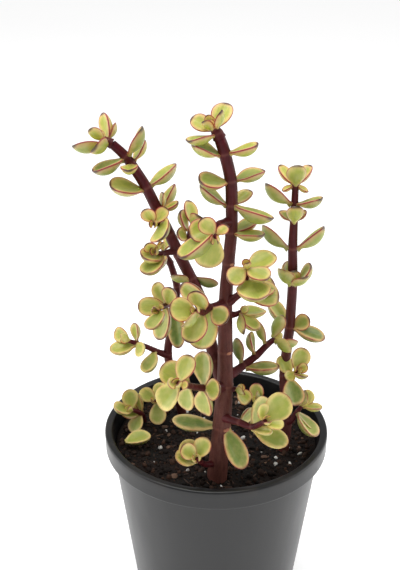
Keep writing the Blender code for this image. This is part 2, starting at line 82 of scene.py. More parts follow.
class Link:
    """What comes out of a node, so that sums on it add the Math nodes that work them out."""

    def __init__(self, tree: "Tree", socket: bpy.types.NodeSocket) -> None:
        """Keep the tree and the node's output socket."""
        self.tree = tree
        self.socket = socket

    def maths(self, operation: str, *values: Any) -> "Link":
        """Add one Math node.

        Args:
            operation: the Math node's operation.
            values: its inputs, as links or numbers.

        Returns:
            The node's result.
        """
        return self.tree.node("ShaderNodeMath", {"operation": operation}, dict(enumerate(values)))

    def __add__(self, other: Any) -> "Link":
        """self + other."""
        return self.maths("ADD", self, other)

    __radd__ = __add__

    def __sub__(self, other: Any) -> "Link":
        """self - other."""
        return self.maths("SUBTRACT", self, other)

    def __rsub__(self, other: Any) -> "Link":
        """other - self."""
        return self.maths("SUBTRACT", other, self)

    def __mul__(self, other: Any) -> "Link":
        """self * other."""
        return self.maths("MULTIPLY", self, other)

    def __truediv__(self, other: Any) -> "Link":
        """self / other."""
        return self.maths("DIVIDE", self, other)

    def __gt__(self, other: Any) -> "Link":
        """1 where self is over other, and 0 elsewhere."""
        return self.maths("GREATER_THAN", self, other)

    def clamped(self) -> "Link":
        """self, kept between 0 and 1."""
        return self.tree.node("ShaderNodeClamp", {}, {0: self})

    def ramp(self, start: float, end: float) -> "Link":
        """A smooth step from 0 at start to 1 at end, which may be the lower of the two.

        Args:
            start: where it is 0.
            end: where it is 1.

        Returns:
            The step.
        """
        low, high, first, last = (start, end, 0.0, 1.0) if start < end else (end, start, 1.0, 0.0)
        settings = {"interpolation_type": "SMOOTHSTEP"}
        return self.tree.node("ShaderNodeMapRange", settings, {0: self, 1: low, 2: high, 3: first, 4: last})


class Tree:
    """A node tree that is filled one call at a time."""

    def __init__(self, nodes: bpy.types.NodeTree) -> None:
        """Wrap a shader's or a modifier's tree."""
        self.nodes = nodes

    def node(self, kind: str, settings: dict[str, Any], inputs: dict[Any, Any], output: Any = 0) -> Link:
        """Add a node.

        Args:
            kind: the node's type.
            settings: its own properties, which are set before its sockets.
            inputs: a value or a link for each socket, by name or by number.
            output: the name or number of the socket that is handed back.

        Returns:
            That output.
        """
        made = self.nodes.nodes.new(kind)
        for name, value in settings.items():
            setattr(made, name, value)
        for place, value in inputs.items():
            if isinstance(value, Link):
                self.nodes.links.new(value.socket, made.inputs[place])
            else:
                made.inputs[place].default_value = value
        return Link(self, made.outputs[output])

    def vector(self, x: Any, y: Any, z: Any) -> Link:
        """Three values as one vector."""
        return self.node("ShaderNodeCombineXYZ", {}, {0: x, 1: y, 2: z})

    def scaled(self, vector: Link, factors: Sequence[float]) -> Link:
        """A vector with each part times a number of its own."""
        return self.node("ShaderNodeVectorMath", {"operation": "MULTIPLY"}, {0: vector, 1: tuple(factors)})

    def times(self, vector: Link, factor: Any) -> Link:
        """A vector times one number."""
        return self.node("ShaderNodeVectorMath", {"operation": "SCALE"}, {0: vector, "Scale": factor})

    def noise(self, place: Link, scale: float, detail: float = 2.0, roughness: float = 0.5) -> Link:
        """Cloudy noise from 0 to 1, with its middle at 0.5."""
        inputs = {"Vector": place, "Scale": scale, "Detail": detail, "Roughness": roughness}
        return self.node("ShaderNodeTexNoise", {}, inputs)


class Shader(Tree):
    """A material's tree, round its Principled shader."""

    def __init__(self, name: str) -> None:
        """Start a material of that name.

        Args:
            name: the material's name.
        """
        self.material = bpy.data.materials.new(name)
        self.material.use_nodes = True
        super().__init__(self.material.node_tree)
        self.surface = self.nodes.nodes["Principled BSDF"]

    def place(self) -> Link:
        """Where a point is on the object, in metres."""
        return self.node("ShaderNodeTexCoord", {}, {}, "Object")

    def value(self, name: str) -> Link:
        """A number that the mesh holds for each of its points."""
        return self.node("ShaderNodeAttribute", {"attribute_name": name}, {}, "Fac")

    def mix(self, factor: Any, first: Any, second: Any) -> Link:
        """A colour between two others, which is the first at 0 and the second at 1."""
        start, end = (value if isinstance(value, Link) else (*value, 1.0) for value in (first, second))
        return self.node("ShaderNodeMix", {"data_type": "RGBA"}, {0: factor, 6: start, 7: end}, 2)

    def bump(self, height: Link, distance: float, strength: float = 1.0, under: Link | None = None) -> Link:
        """A normal from a height of 0 to 1, whose step is the distance in metres.

        Args:
            height: how high the surface stands.
            distance: how far 1 stands over 0, in metres.
            strength: how much of the bump shows.
            under: a normal that this one is laid over.

        Returns:
            The normal.
        """
        inputs: dict[str, Any] = {"Height": height, "Distance": distance, "Strength": strength}
        if under is not None:
            inputs["Normal"] = under
        return self.node("ShaderNodeBump", {}, inputs)

    def dress(self, **sockets: Any) -> bpy.types.Material:
        """Set the Principled shader's sockets.

        Args:
            sockets: a value or a link for each, named with _ for a space.

        Returns:
            The finished material.
        """
        for name, value in sockets.items():
            socket = self.surface.inputs[name.replace("_", " ")]
            if isinstance(value, Link):
                self.nodes.links.new(value.socket, socket)
            elif isinstance(value, tuple) and len(value) == 3 and socket.type == "RGBA":
                socket.default_value = (*value, 1.0)
            else:
                socket.default_value = value
        return self.material


class Modelling(Tree):
    """A Geometry Nodes tree with named inputs, which is run once on a mesh."""

    def __init__(self, name: str, **inputs: tuple[str, Any]) -> None:
        """Start a tree.

        Args:
            name: what the tree makes.
            inputs: the socket type and the value of each input.
        """
        group = bpy.data.node_groups.new(name, "GeometryNodeTree")
        super().__init__(group)
        group.interface.new_socket("Geometry", in_out="OUTPUT", socket_type="NodeSocketGeometry")
        group.interface.new_socket("Geometry", in_out="INPUT", socket_type="NodeSocketGeometry")
        self.values = {}
        for label, (kind, value) in inputs.items():
            socket = group.interface.new_socket(label, in_out="INPUT", socket_type="NodeSocket" + kind)
            self.values[socket.identifier] = value
        self.start = group.nodes.new("NodeGroupInput")

    def given(self, label: str) -> Link:
        """The input of that name."""
        return Link(self, self.start.outputs[label])

    def attribute(self, name: str) -> Link:
        """A number that the mesh holds for each of its points."""
        return self.node("GeometryNodeInputNamedAttribute", {"data_type": "FLOAT"}, {"Name": name})

    def chance(self, low: Any, high: Any, seed: Any) -> Link:
        """A random number, or a random vector where low and high are vectors.

        Args:
            low: the least that it can be.
            high: the most.
            seed: sets the draw.

        Returns:
            A value for each point or copy.
        """
        if isinstance(low, tuple):
            settings, first, output = {"data_type": "FLOAT_VECTOR"}, 0, 0
        else:
            settings, first, output = {"data_type": "FLOAT"}, 2, 1
        inputs = {first: low, first + 1: high, "Seed": seed}
        return self.node("FunctionNodeRandomValue", settings, inputs, output)

    def position(self) -> Link:
        """Where a point is, in metres."""
        return self.node("GeometryNodeInputPosition", {}, {})

    def swollen(self, shape: Link, amount: Link) -> Link:
        """A shape with its points moved out along their normals."""
        offset = self.times(self.node("GeometryNodeInputNormal", {}, {}), amount)
        return self.node("GeometryNodeSetPosition", {}, {"Geometry": shape, "Offset": offset})

    def copies(self, points: Link, shape: Link, turn: Link, scale: Link, seed: Any) -> Link:
        """Copies of a shape, each with a tone of its own from 0 to 1.

        Args:
            points: where they go.
            shape: what is copied.
            turn: each copy's turn.
            scale: each copy's size.
            seed: sets the tones.

        Returns:
            The copies, still as instances.
        """
        placed = self.node("GeometryNodeInstanceOnPoints", {}, {
            "Points": points, "Instance": shape, "Rotation": turn, "Scale": scale,
        })
        return self.node(
            "GeometryNodeStoreNamedAttribute", {"data_type": "FLOAT", "domain": "INSTANCE"},
            {"Geometry": placed, "Name": "tone", "Value": self.chance(0.0, 1.0, seed)},
        )

    def run(self, shape: Link, source: bpy.types.Object) -> bpy.types.Mesh:
        """Close the tree, run it on an object and remove both modifier and object.

        Args:
            shape: what the tree hands out.
            source: the object that the tree starts from.

        Returns:
            The result as a plain mesh.
        """
        smooth = self.node("GeometryNodeSetShadeSmooth", {}, {"Geometry": shape})
        real = self.node("GeometryNodeRealizeInstances", {}, {"Geometry": smooth})
        finish = {"Geometry": real, "Material": self.given("Finish")}
        dressed = self.node("GeometryNodeSetMaterial", {}, finish)
        end = self.nodes.nodes.new("NodeGroupOutput")
        self.nodes.links.new(dressed.socket, end.inputs[0])
        modifier = source.modifiers.new(self.nodes.name, "NODES")
        modifier.node_group = self.nodes
        for identifier, value in self.values.items():
            modifier[identifier] = value
        graph = bpy.context.evaluated_depsgraph_get()
        mesh = bpy.data.meshes.new_from_object(
            source.evaluated_get(graph), preserve_all_data_layers=True, depsgraph=graph
        )
        source.modifiers.remove(modifier)
        bpy.data.objects.remove(source)
        bpy.data.node_groups.remove(self.nodes)
        return mesh


# ---- Meshes ----


class Slot(Enum):
    """The record's material slots."""

    PLASTIC = "black_plastic"
    SOIL = "potting_soil"
    BARK = "bark"
    LEAF = "leaf"


def link_object(name: str, data: bpy.types.ID) -> bpy.types.Object:
    """An object of that name in the scene, at the origin.

    Args:
        name: the object's name.
        data: its mesh, light or camera.

    Returns:
        The object.
    """
    piece = bpy.data.objects.new(name, data)
    bpy.context.scene.collection.objects.link(piece)
    return piece


def install(name: str, mesh: bpy.types.Mesh, slot: Slot, *nodes: str) -> None:
    """Put a finished piece on the model.

    Args:
        name: the piece's name.
        mesh: its mesh, in place.
        slot: the record's slot that its finish comes from; not used.
        nodes: the CAD nodes that it stands for.
    """
    piece = link_object(name, mesh)
    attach(piece, "root")
    if nodes:
        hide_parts(*nodes)
    LOG.info("%s: %d faces", name, len(mesh.polygons))


class Draft:
    """The points, faces and per-point numbers of a mesh that is being put together."""

    def __init__(self) -> None:
        """Start empty."""
        self.points: list[np.ndarray] = []
        self.faces: list[tuple[int, ...]] = []
        self.values: dict[str, list[np.ndarray]] = {}
        self.count = 0

    def add(self, points: np.ndarray, faces: Iterable[tuple[int, ...]], **values: np.ndarray) -> None:
        """Add a shape.

        Args:
            points: its points in metres, one a row.
            faces: its faces, by the numbers of their points.
            values: a number for each point, by name.
        """
        self.faces += [tuple(index + self.count for index in face) for face in faces]
        self.points.append(points)
        self.count += len(points)
        for name, value in values.items():
            self.values.setdefault(name, []).append(np.broadcast_to(value, len(points)))

    def mesh(self, name: str, material: bpy.types.Material | None = None) -> bpy.types.Mesh:
        """Make the mesh, smooth all over.

        Args:
            name: the mesh's name.
            material: its finish, or None.

        Returns:
            The mesh, with the numbers as attributes of its points.
        """
        mesh = bpy.data.meshes.new(name)
        mesh.from_pydata(np.concatenate(self.points).tolist(), [], self.faces)
        for label, parts in self.values.items():
            attribute = mesh.attributes.new(label, "FLOAT", "POINT")
            attribute.data.foreach_set("value", np.concatenate(parts).astype(np.float32))
        if material:
            mesh.materials.append(material)
        mesh.shade_smooth()
        return mesh


def ring_points(radius: float, level: float, count: int) -> np.ndarray:
    """Points round a level circle whose middle is over the origin."""
    turns = 2 * np.pi * np.arange(count) / count
    return np.stack([radius * np.cos(turns), radius * np.sin(turns), np.full(count, level)], axis=1)


def closed_rows(rows: int, columns: int) -> list[tuple[int, ...]]:
    """Faces of a skin over rows of points, closed at both ends by a point each.

    Args:
        rows: how many rings of points lie between the two end points.
        columns: how many points a ring has.

    Returns:
        The faces, where point 0 is the first end, the rings follow, and the last is the other end.
    """
    def ring(row: int, column: int) -> int:
        """The number of a ring's point."""
        return 1 + row * columns + column % columns

    last = 1 + rows * columns
    faces: list[tuple[int, ...]] = [(0, ring(0, c + 1), ring(0, c)) for c in range(columns)]
    for row in range(rows - 1):
        faces += [(ring(row, c), ring(row, c + 1), ring(row + 1, c + 1), ring(row + 1, c))
                  for c in range(columns)]
    return faces + [(last, ring(rows - 1, c), ring(rows - 1, c + 1)) for c in range(columns)]


# ---- The plant's plan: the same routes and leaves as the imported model's ----

RIM_DRAWN = 51.0  # the pot's radius that the routes are drawn for
SOIL_DROP = 7.0  # from the rim down to the soil
BURIED = 9.0  # how far a stem reaches into the soil
TIP_LENGTH = 1.6  # of a shoot's bud, as a share of its last radius
TIP_TAPER = 0.6  # how much of a bud's girth is rounded, and the rest is a cone
BUD_RINGS = (0.25, 0.5, 0.7, 0.85, 0.95, 1.0)  # along a bud
BUD_POINT = 0.02  # how blunt a bud's very tip is


@dataclass(frozen=True)
class Leaf:
    """A leaf on a stem: its place, its turn about the stem, its opening from it and its reach.

    at is the index of the route's point, angles are in degrees, and the reach from the stem's
    middle to the leaf's tip is in millimetres. roll twists the leaf about its own length, and
    broad is its width as a share of the usual one.
    """

    at: float
    turn: float
    opening: float
    reach: float
    roll: float = 0.0
    broad: float = 1.0


@dataclass(frozen=True)
class Node:
    """A place on a stem: its middle, the stem's direction, two directions square to it, its radius."""

    place: Vector
    axis: Vector
    first: Vector
    second: Vector
    radius: float


@dataclass(frozen=True)
class Stem:
    """A stem along its route, from its first radius to its last, with z = 0 at the soil."""

    name: str
    route: tuple[tuple[float, float, float], ...]
    radii: tuple[float, ...]
    parent: str = "soil"
    bud: bool = True

    def radius(self, at: float) -> float:
        """The radius at a point of the route, which at may lie between.

        Args:
            at: the point's index, or a number between two of them.

        Returns:
            The radius in millimetres.
        """
        count = len(self.route)
        if len(self.radii) == count:
            return float(np.interp(at, range(count), self.radii))
        first, last = self.radii
        return first + (last - first) * at / (count - 1)

    def middle(self, at: float) -> Vector:
        """The stem's middle at a point of the route, on a smooth curve through all of them.

        Args:
            at: the point's index, or a number between two of them.

        Returns:
            The place in the plan.
        """
        route = [Vector(point) for point in self.route]
        span = max(0, min(int(at), len(route) - 2))
        t = at - span
        before, after = route[max(span - 1, 0)], route[min(span + 2, len(route) - 1)]
        start, end = route[span], route[span + 1]
        return 0.5 * (
            2 * start + (end - before) * t
            + (2 * before - 5 * start + 4 * end - after) * t ** 2
            + (3 * start - before - 3 * end + after) * t ** 3
        )

    def node(self, at: float) -> Node:
        """The place at a point of the route, with its directions.

        Args:
            at: the point's index, or a number between two of them.

        Returns:
            The place there.
        """
        last = len(self.route) - 1
        axis = (self.middle(min(at + 0.5, last)) - self.middle(max(at - 0.5, 0))).normalized()
        tilt = Vector((0.0, 0.0, 1.0)).rotation_difference(axis)
        first, second = tilt @ Vector((1.0, 0.0, 0.0)), tilt @ Vector((0.0, 1.0, 0.0))
        return Node(self.middle(at), axis, first, second, self.radius(at))


def leaves(*rows: tuple[float, ...]) -> tuple[Leaf, ...]:
    """A leaf from each row of numbers."""
    return tuple(Leaf(*row) for row in rows)


WOODY_STEMS = (
    Stem("main_stem",
         ((0, -31, -BURIED), (0, -31, 0), (2, -30, 30), (3, -28, 45), (3, -26, 60), (3, -24, 82),
          (4, -22, 98), (5, -21, 111), (5, -20, 121), (4.5, -20, 132), (2, -20, 143), (0, -20, 149)),
         (4.4, 4.4, 3.8, 3.4, 3.1, 2.8, 2.5, 2.4, 2.4, 2.4, 2.4, 2.2), bud=False),
    Stem("left_stem",
         ((3, -28, 42), (-1, -22, 53), (-4, -17, 65), (-6, -14, 75), (-11, -11, 86), (-16, -9, 96),
          (-20, -8, 105), (-24.5, -8, 115), (-29, -8, 125), (-33, -8, 132), (-37, -8, 138), (-42, -8, 143)),
         (2.6, 2.6, 2.6, 2.5, 2.4, 2.4, 2.3, 2.3, 2.2, 2.1, 2.0, 1.8), "main_stem", bud=False),
    Stem("right_stem",
         ((30, -11, -BURIED), (30.5, -10, 0), (31.5, -8, 17), (30, -5, 36), (31, -4, 53), (31.5, -4, 60),
          (32, -3, 80), (31.5, -2, 96), (31.5, -2, 108), (31.5, -2, 116), (31.5, -2, 122)),
         (2.5, 2.5, 2.4, 2.3, 2.2, 2.2, 2.1, 2.0, 1.7, 1.5, 1.4), bud=False),
    Stem("back_stem",
         ((-16, 20, -BURIED), (-16, 20, 0), (-20, 14, 23), (-22, 10, 39), (-20, 8, 54), (-18, 6, 68),
          (-17.5, 4, 76), (-20, 2, 87)),
         (2.2, 2.2, 2.0, 1.9, 1.8, 1.7, 1.6, 1.4), bud=False),
)

# How old a woody stem is at its foot and at its tip, from 0 for a new shoot to 1 for old wood
WOOD_AGES = {
    "main_stem": (1.0, 0.0), "left_stem": (0.45, 0.0), "right_stem": (0.6, 0.0), "back_stem": (0.6, 0.1),
}
TWIG_AGES = (0.25, 0.0)

# Leaves that grow on the woody stems: the stem, the whorl's name and its leaves
WHORLS = (
    ("main_stem", "main_leaves_base",
     leaves((1.85, -45, 135, 20, 30, 0.6), (1.85, 180, 90, 21, -30, 0.5))),
    ("main_stem", "main_leaves_mid", leaves((7, -30, 90, 14), (7, 30, 75, 12), (7, 165, 90, 13))),
    ("main_stem", "main_leaves_upper",
     leaves((8.1, -30, 105, 18, -15, 0.8), (8.1, 180, 60, 15), (8.1, 45, 75, 11, 15, 0.8))),
    ("main_stem", "main_leaves_high", leaves((9, -150, 75, 15, -30, 0.8), (9, 15, 90, 14))),
    ("main_stem", "main_leaves_top", leaves((10, -165, 60, 14, -15), (10, -15, 90, 14, 0, 0.7))),
    ("left_stem", "left_leaves_low", leaves((4, -135, 60, 10), (4, 30, 135, 12))),
    ("left_stem", "left_leaves_mid",
     leaves((7, 45, 75, 14, -15, 0.7), (7, 15, 45, 8), (7, -15, 90, 10, 15, 0.6))),
    ("left_stem", "left_leaves_upper", leaves((8, -150, 60, 16, -30, 0.9), (8, 30, 90, 16, 0, 0.8))),
    ("left_stem", "left_leaves_high", leaves((9.5, -90, 90, 12, -30, 0.8), (9.5, 30, 75, 11))),
    ("left_stem", "left_leaves_top", leaves((10, -15, 75, 15, 0, 0.8), (10, -150, 75, 15, -15, 0.8))),
    ("right_stem", "right_leaves_low",
     leaves((5, -15, 105, 16, 15, 0.7), (5, -15, 60, 10, 60), (5, 135, 60, 15, 0, 0.7))),
    ("right_stem", "right_leaves_mid",
     leaves((6, -135, 45, 11, 0, 1.1), (6, -60, 60, 10, 0, 1.1), (6, -90, 30, 8),
            (6, 135, 30, 10), (6, -15, 45, 12, 15))),
    ("right_stem", "right_leaves_upper", leaves((7, 165, 60, 16, 30, 0.7), (7, 0, 60, 16, -15, 0.7))),
    ("right_stem", "right_leaves_high", leaves((8, -90, 30, 9), (8, 135, 75, 8), (8, 30, 60, 7))),
    ("right_stem", "right_leaves_top", leaves((9, 180, 60, 15, 15, 0.8), (9, -30, 75, 13, 0, 0.8))),
)

# Young shoots and the stems' growing tips, each one piece with its own leaves
SHOOTS = (
    (Stem("main_crown", ((0, -20, 149), (-1, -20, 151), (-2, -20, 152.5)), (2.1, 1.4), "main_stem"),
     leaves((1, -150, 75, 13), (2, 150, 45, 10, -15), (2, 45, 75, 12, 45, 0.9), (2, -30, 60, 9),
            (2, -120, 30, 6), (2, 60, 15, 6))),
    (Stem("left_crown", ((-42, -8, 143), (-44, -8, 144), (-45, -8, 145)), (1.7, 1.1), "left_stem"),
     leaves((1, 45, 60, 12, 15, 0.7), (1, 45, 90, 9, 0, 0.8), (1, -105, 75, 11), (1, -150, 45, 14, 0, 0.8),
            (2, -105, 30, 8, 0, 0.8))),
    (Stem("right_crown", ((31.5, -2, 122), (31.5, -2, 124), (31.5, -2, 125.5)), (1.3, 0.9), "right_stem"),
     leaves((1, -90, 15, 9, 0, 1.1), (1, 135, 60, 11, 0, 0.7), (1, 45, 60, 11, 0, 0.7), (1, 180, 120, 6),
            (1, -15, 120, 6))),
    (Stem("back_crown", ((-20, 2, 87), (-22, 2, 91), (-23, 2, 93.5)), (1.3, 0.9), "back_stem"),
     leaves((1, -120, 90, 12), (2, 45, 75, 9))),
    (Stem("high_shoot", ((5, -20, 115), (2, -24, 116), (-0.5, -30, 117.5), (-1.5, -36, 115.5)), (1.7, 1.1),
          "main_stem"),
     leaves((3, 120, 105, 9, 30), (3, 45, 90, 8, -15, 0.7), (3, -120, 60, 13, -15, 1.2),
            (2, -150, 45, 20, 75, 0.8), (2, 180, 60, 12, 30))),
    (Stem("centre_left_shoot",
          ((3, -24, 81), (0, -28, 82), (-3.5, -33, 83.5), (-6, -38, 84), (-8.5, -43, 87)),
          (1.8, 1.1), "main_stem"),
     leaves((2, -45, 75, 11, -30), (2, -120, 75, 17), (2, 120, 90, 15, 0, 0.7), (3, 75, 60, 11),
            (3, -120, 60, 14, 0, 0.9), (4, 165, 45, 12), (4, -120, 45, 10, 60))),
    (Stem("mid_right_shoot",
          ((3, -24, 81), (6, -26, 84), (9.5, -30, 89.5), (10.5, -35, 97), (10.5, -37, 102.5)),
          (1.7, 1.0), "main_stem"),
     leaves((4, -135, 90, 11, -30, 0.9), (4, 30, 90, 13), (4, -45, 90, 11), (3, -75, 75, 15, 0, 1.1),
            (2, 0, 90, 15), (2, 30, 90, 14))),
    (Stem("small_right_shoot", ((3, -25, 76), (7, -24, 76), (9, -23, 76.5)), (1.2, 0.9), "main_stem"),
     leaves((2, 30, 30, 12), (2, -30, 90, 11, 60), (2, -30, 120, 10))),
    (Stem("right_branch",
          ((3, -27, 49), (7, -25, 49.5), (11, -22, 51), (16.5, -19, 54), (21, -17, 58), (24, -15, 59.5)),
          (2.0, 1.2), "main_stem"),
     leaves((2, 180, 75, 12), (2, -30, 45, 15, 60, 0.6), (3, -165, 75, 11, -30), (4, 180, 75, 11),
            (5, -45, 90, 10), (5, -165, 45, 11), (5, 0, 45, 11))),
    (Stem("front_low_shoot",
          ((2, -30, 31), (4.5, -34, 32), (9, -38, 33), (14, -42, 33.5), (18.5, -48, 40)),
          (1.8, 1.1), "main_stem"),
     leaves((4, 60, 60, 14), (4, 135, 60, 8), (4, -15, 60, 8, -15), (3, 75, 90, 14),
            (3, -15, 60, 16, 0, 0.7), (3, -45, 15, 12, 30, 0.4), (2, 60, 90, 9))),
    (Stem("centre_shoot",
          ((3, -28, 43), (0, -32, 46.5), (-6, -37, 49), (-11.5, -43, 53.5), (-15.5, -50, 59)),
          (1.9, 1.1), "main_stem"),
     leaves((2, 60, 90, 15, 0, 0.9), (2, -135, 120, 13), (2, -30, 90, 10, 0, 1.2), (3, 120, 60, 14),
            (3, -135, 120, 11), (4, 60, 105, 12, 0, 0.9), (4, -150, 105, 13), (4, 180, 30, 6),
            (4, -30, 75, 5))),
    (Stem("low_sprout", ((3, -28, 43.5), (6.5, -29, 43.5), (8, -29.5, 44)), (1.1, 0.8), "main_stem"),
     leaves((2, -15, 75, 8, 30, 1.1), (2, -105, 45, 6))),
    (Stem("front_sprout", ((0, -31, 8), (-5, -36, 10.5), (-7.5, -39, 14.5), (-8.5, -42, 17.5)), (1.4, 1.0),
          "main_stem"),
     leaves((3, 135, 60, 9), (3, 60, 75, 10), (2, 120, 60, 11), (2, 165, 45, 12, 0, 0.8))),
    (Stem("left_front_shoot", ((-22.5, -8, 110.5), (-24.5, -12, 111), (-25.5, -15, 112)), (1.3, 0.9),
          "left_stem"),
     leaves((2, 105, 60, 8), (2, 45, 105, 8, 0, 0.9), (1, -45, 45, 12, -15, 1.2))),
    (Stem("left_outer_shoot", ((-17, -9, 98), (-20, -11, 98), (-23, -13.5, 98.5), (-25, -17, 100.5)),
          (1.3, 0.9), "left_stem"),
     leaves((3, 105, 30, 7), (3, 60, 120, 4), (2, -150, 15, 11), (2, -120, 45, 13))),
    (Stem("left_inner_shoot",
          ((-16, -9, 96), (-13.5, -8, 99), (-12, -8, 103), (-11.5, -9, 106.5), (-10, -10, 109.5)),
          (1.3, 0.9), "left_stem"),
     leaves((3, 165, 45, 10, 0, 0.8), (4, 120, 75, 11, 0, 0.8), (4, -105, 30, 9), (2, -150, 60, 8, -45))),
    (Stem("right_low_shoot", ((30, -5, 36), (32, -11, 39), (34, -14, 43)), (1.4, 0.9), "right_stem"),
     leaves((1, -75, 90, 13), (1, 120, 105, 10), (2, -135, 90, 7), (2, 90, 60, 11), (2, 30, 45, 6),
            (2, -75, 45, 8))),
    (Stem("right_base_shoot", ((31.5, -9, 14), (33.5, -10, 16), (36, -10, 20.5), (38, -10, 23.5)),
          (1.4, 0.9), "right_stem"),
     leaves((3, -165, 30, 8), (3, 75, 45, 8), (3, -15, 60, 9), (2, -30, 105, 10), (2, -45, 105, 14))),
    (Stem("back_upper_shoot", ((-18, 6, 67), (-19.5, 2, 68.5), (-22, -6, 71), (-25, -12, 72.5)),
          (1.5, 1.0), "back_stem"),
     leaves((2, 165, 75, 12, 0, 0.9), (2, 105, 105, 11, 0, 0.8), (2, 45, 75, 10), (2, -105, 75, 15, 30, 0.9),
            (1, -90, 90, 20, 0, 0.5), (3, -90, 45, 11, 0, 1.2), (3, 120, 15, 4), (3, 15, 75, 4))),
    (Stem("back_left_shoot",
          ((-22, 10, 38), (-25, 8, 40), (-28, 7, 42), (-31.5, 5, 45), (-36, 3, 48), (-39, 2, 49.5)),
          (1.5, 0.9), "back_stem"),
     leaves((5, 105, 60, 9), (5, -15, 30, 6), (4, -165, 45, 12), (4, 45, 75, 9), (4, -75, 105, 8, 0, 1.1),
            (2, -105, 75, 14, -30, 0.7))),
    (Stem("left_sprout", ((-23, 22, -BURIED), (-24, 20, 1), (-26, 16, 7.5), (-28, 12, 12)), (1.6, 1.0)),
     leaves((3, 135, 75, 9), (3, 60, 90, 9), (3, -90, 105, 11), (3, -135, 15, 4))),
    (Stem("outer_sprout", ((-34, 14, -BURIED), (-34, 13, 0), (-35, 9, 7), (-39, 6, 11)), (1.5, 1.0)),
     leaves((3, 60, 60, 10, 60), (3, -165, 15, 10), (2, 75, 45, 11, -15, 0.6), (2, -120, 90, 10),
            (2, 165, 45, 11))),
    (Stem("back_sprout", ((20, 26, -BURIED), (20.5, 24, -1.5), (20, 24, 3)), (1.2, 0.9)),
     leaves((2, 60, 30, 10), (2, -15, 15, 7))),
)


@dataclass(frozen=True)
class Ground:
    """The plant's own frame in the model."""

    scale: float  # metres in the model for a millimetre of the plan
    height: float  # of the soil, in metres

    @classmethod
    def from_pot(cls) -> "Ground":
        """Read the scale and the soil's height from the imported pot."""
        low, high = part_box("pot")
        return cls((high.x - low.x) / (2 * RIM_DRAWN), high.z - SOIL_DROP * MM)

    def place(self, points: np.ndarray) -> np.ndarray:
        """Points of the plan, in millimetres over the soil, as points of the model in metres."""
        return points * self.scale + np.array((0.0, 0.0, self.height))


# ---- Finishes ----


@dataclass(frozen=True)
class LeafFinish:
    """Waxy variegated leaf: a green heart, a cream margin, a thin red rim and a maroon tip."""

    young_heart: Colour = (0.60, 0.62, 0.095)
    # the older leaves' deeper green, made darker still as painted shade on the low leaves
    old_and_shaded_heart: Colour = (0.165, 0.245, 0.048)
    young_cream: Colour = (0.88, 0.78, 0.26)
    old_cream: Colour = (0.72, 0.56, 0.23)
    streak: Colour = (0.36, 0.43, 0.080)
    # the underside's colour: its own duller green, darkened further as painted shade
    dull_and_shaded_underside: Colour = (0.085, 0.130, 0.030)
    flush: Colour = (0.82, 0.36, 0.18)
    rim: Colour = (0.36, 0.022, 0.036)
    tip: Colour = (0.075, 0.008, 0.012)
    foot: Colour = (0.42, 0.34, 0.10)

    def material(self) -> bpy.types.Material:
        """Make the material.

        Returns:
            It reads the leaf's edge, along, face, age and blush values and its lie in millimetres.
        """
        shader = Shader("waxy_leaf")
        edge, along, face = shader.value("edge"), shader.value("along"), shader.value("face")
        age, blush = shader.value("age"), shader.value("blush")
        lie = shader.vector(shader.value("lie_x"), shader.value("lie_y"), shader.value("lie_z"))
        veins = shader.noise(shader.scaled(lie, (0.35, 1.5, 1.0)), 1.0, 3.0)
        cloud = shader.noise(lie, 0.28, 2.0)
        grain = shader.noise(lie, 3.2, 3.0)

        # Older, lower leaves get a darker heart: partly their own age, partly painted shade
        heart = shader.mix(age, self.young_heart, self.old_and_shaded_heart)
        cream = shader.mix(age, self.young_cream, self.old_cream)
        heart = shader.mix((veins - 0.42) * 2.2 * (1.0 - age * 0.5), heart, self.streak)
        heart = shader.mix((0.62 - cloud).clamped() * 0.9, heart, cream)
        inward = (edge + (veins - 0.5) * 1.5 + (cloud - 0.5) * 1.8).ramp(0.2, 2.3)
        colour = shader.mix(inward, cream, heart)
        colour = shader.mix((grain - 0.5).clamped() * 0.35, colour, self.old_and_shaded_heart)

        flush = edge.ramp(2.0, 0.15) * (blush + (cloud - 0.5) * 1.2).clamped()
        colour = shader.mix(flush * 0.60, colour, self.flush)
        line = edge.ramp(0.50, 0.16) * (blush * 1.35 + (cloud - 0.5) * 2.2).clamped()
        colour = shader.mix(line, colour, self.rim)
        point = along.ramp(0.86, 0.98) * edge.ramp(1.5, 0.3) * (blush * 1.7 - 0.30).clamped()
        colour = shader.mix(point, colour, self.tip)
        colour = shader.mix(along.ramp(0.14, 0.02) * 0.6, colour, self.foot)
        # The underside is mixed towards a dark green: partly its own duller colour, partly painted shade,
        # stronger on older leaves
        below = face.ramp(0.15, -0.35)
        colour = shader.mix(below * (0.20 + age * 0.42), colour, self.dull_and_shaded_underside)

        skin = shader.bump(grain, 0.05 * MM, 0.5)
        skin = shader.bump(veins, 0.12 * MM, 0.6, skin)
        return shader.dress(
            Base_Color=colour, Roughness=grain * 0.22 + 0.30, Normal=skin, Coat_Weight=0.25,
            Coat_Roughness=0.28, Subsurface_Weight=0.22, Subsurface_Radius=(0.9, 1.0, 0.25),
            Subsurface_Scale=2.2 * MM, Specular_IOR_Level=0.45,
        )


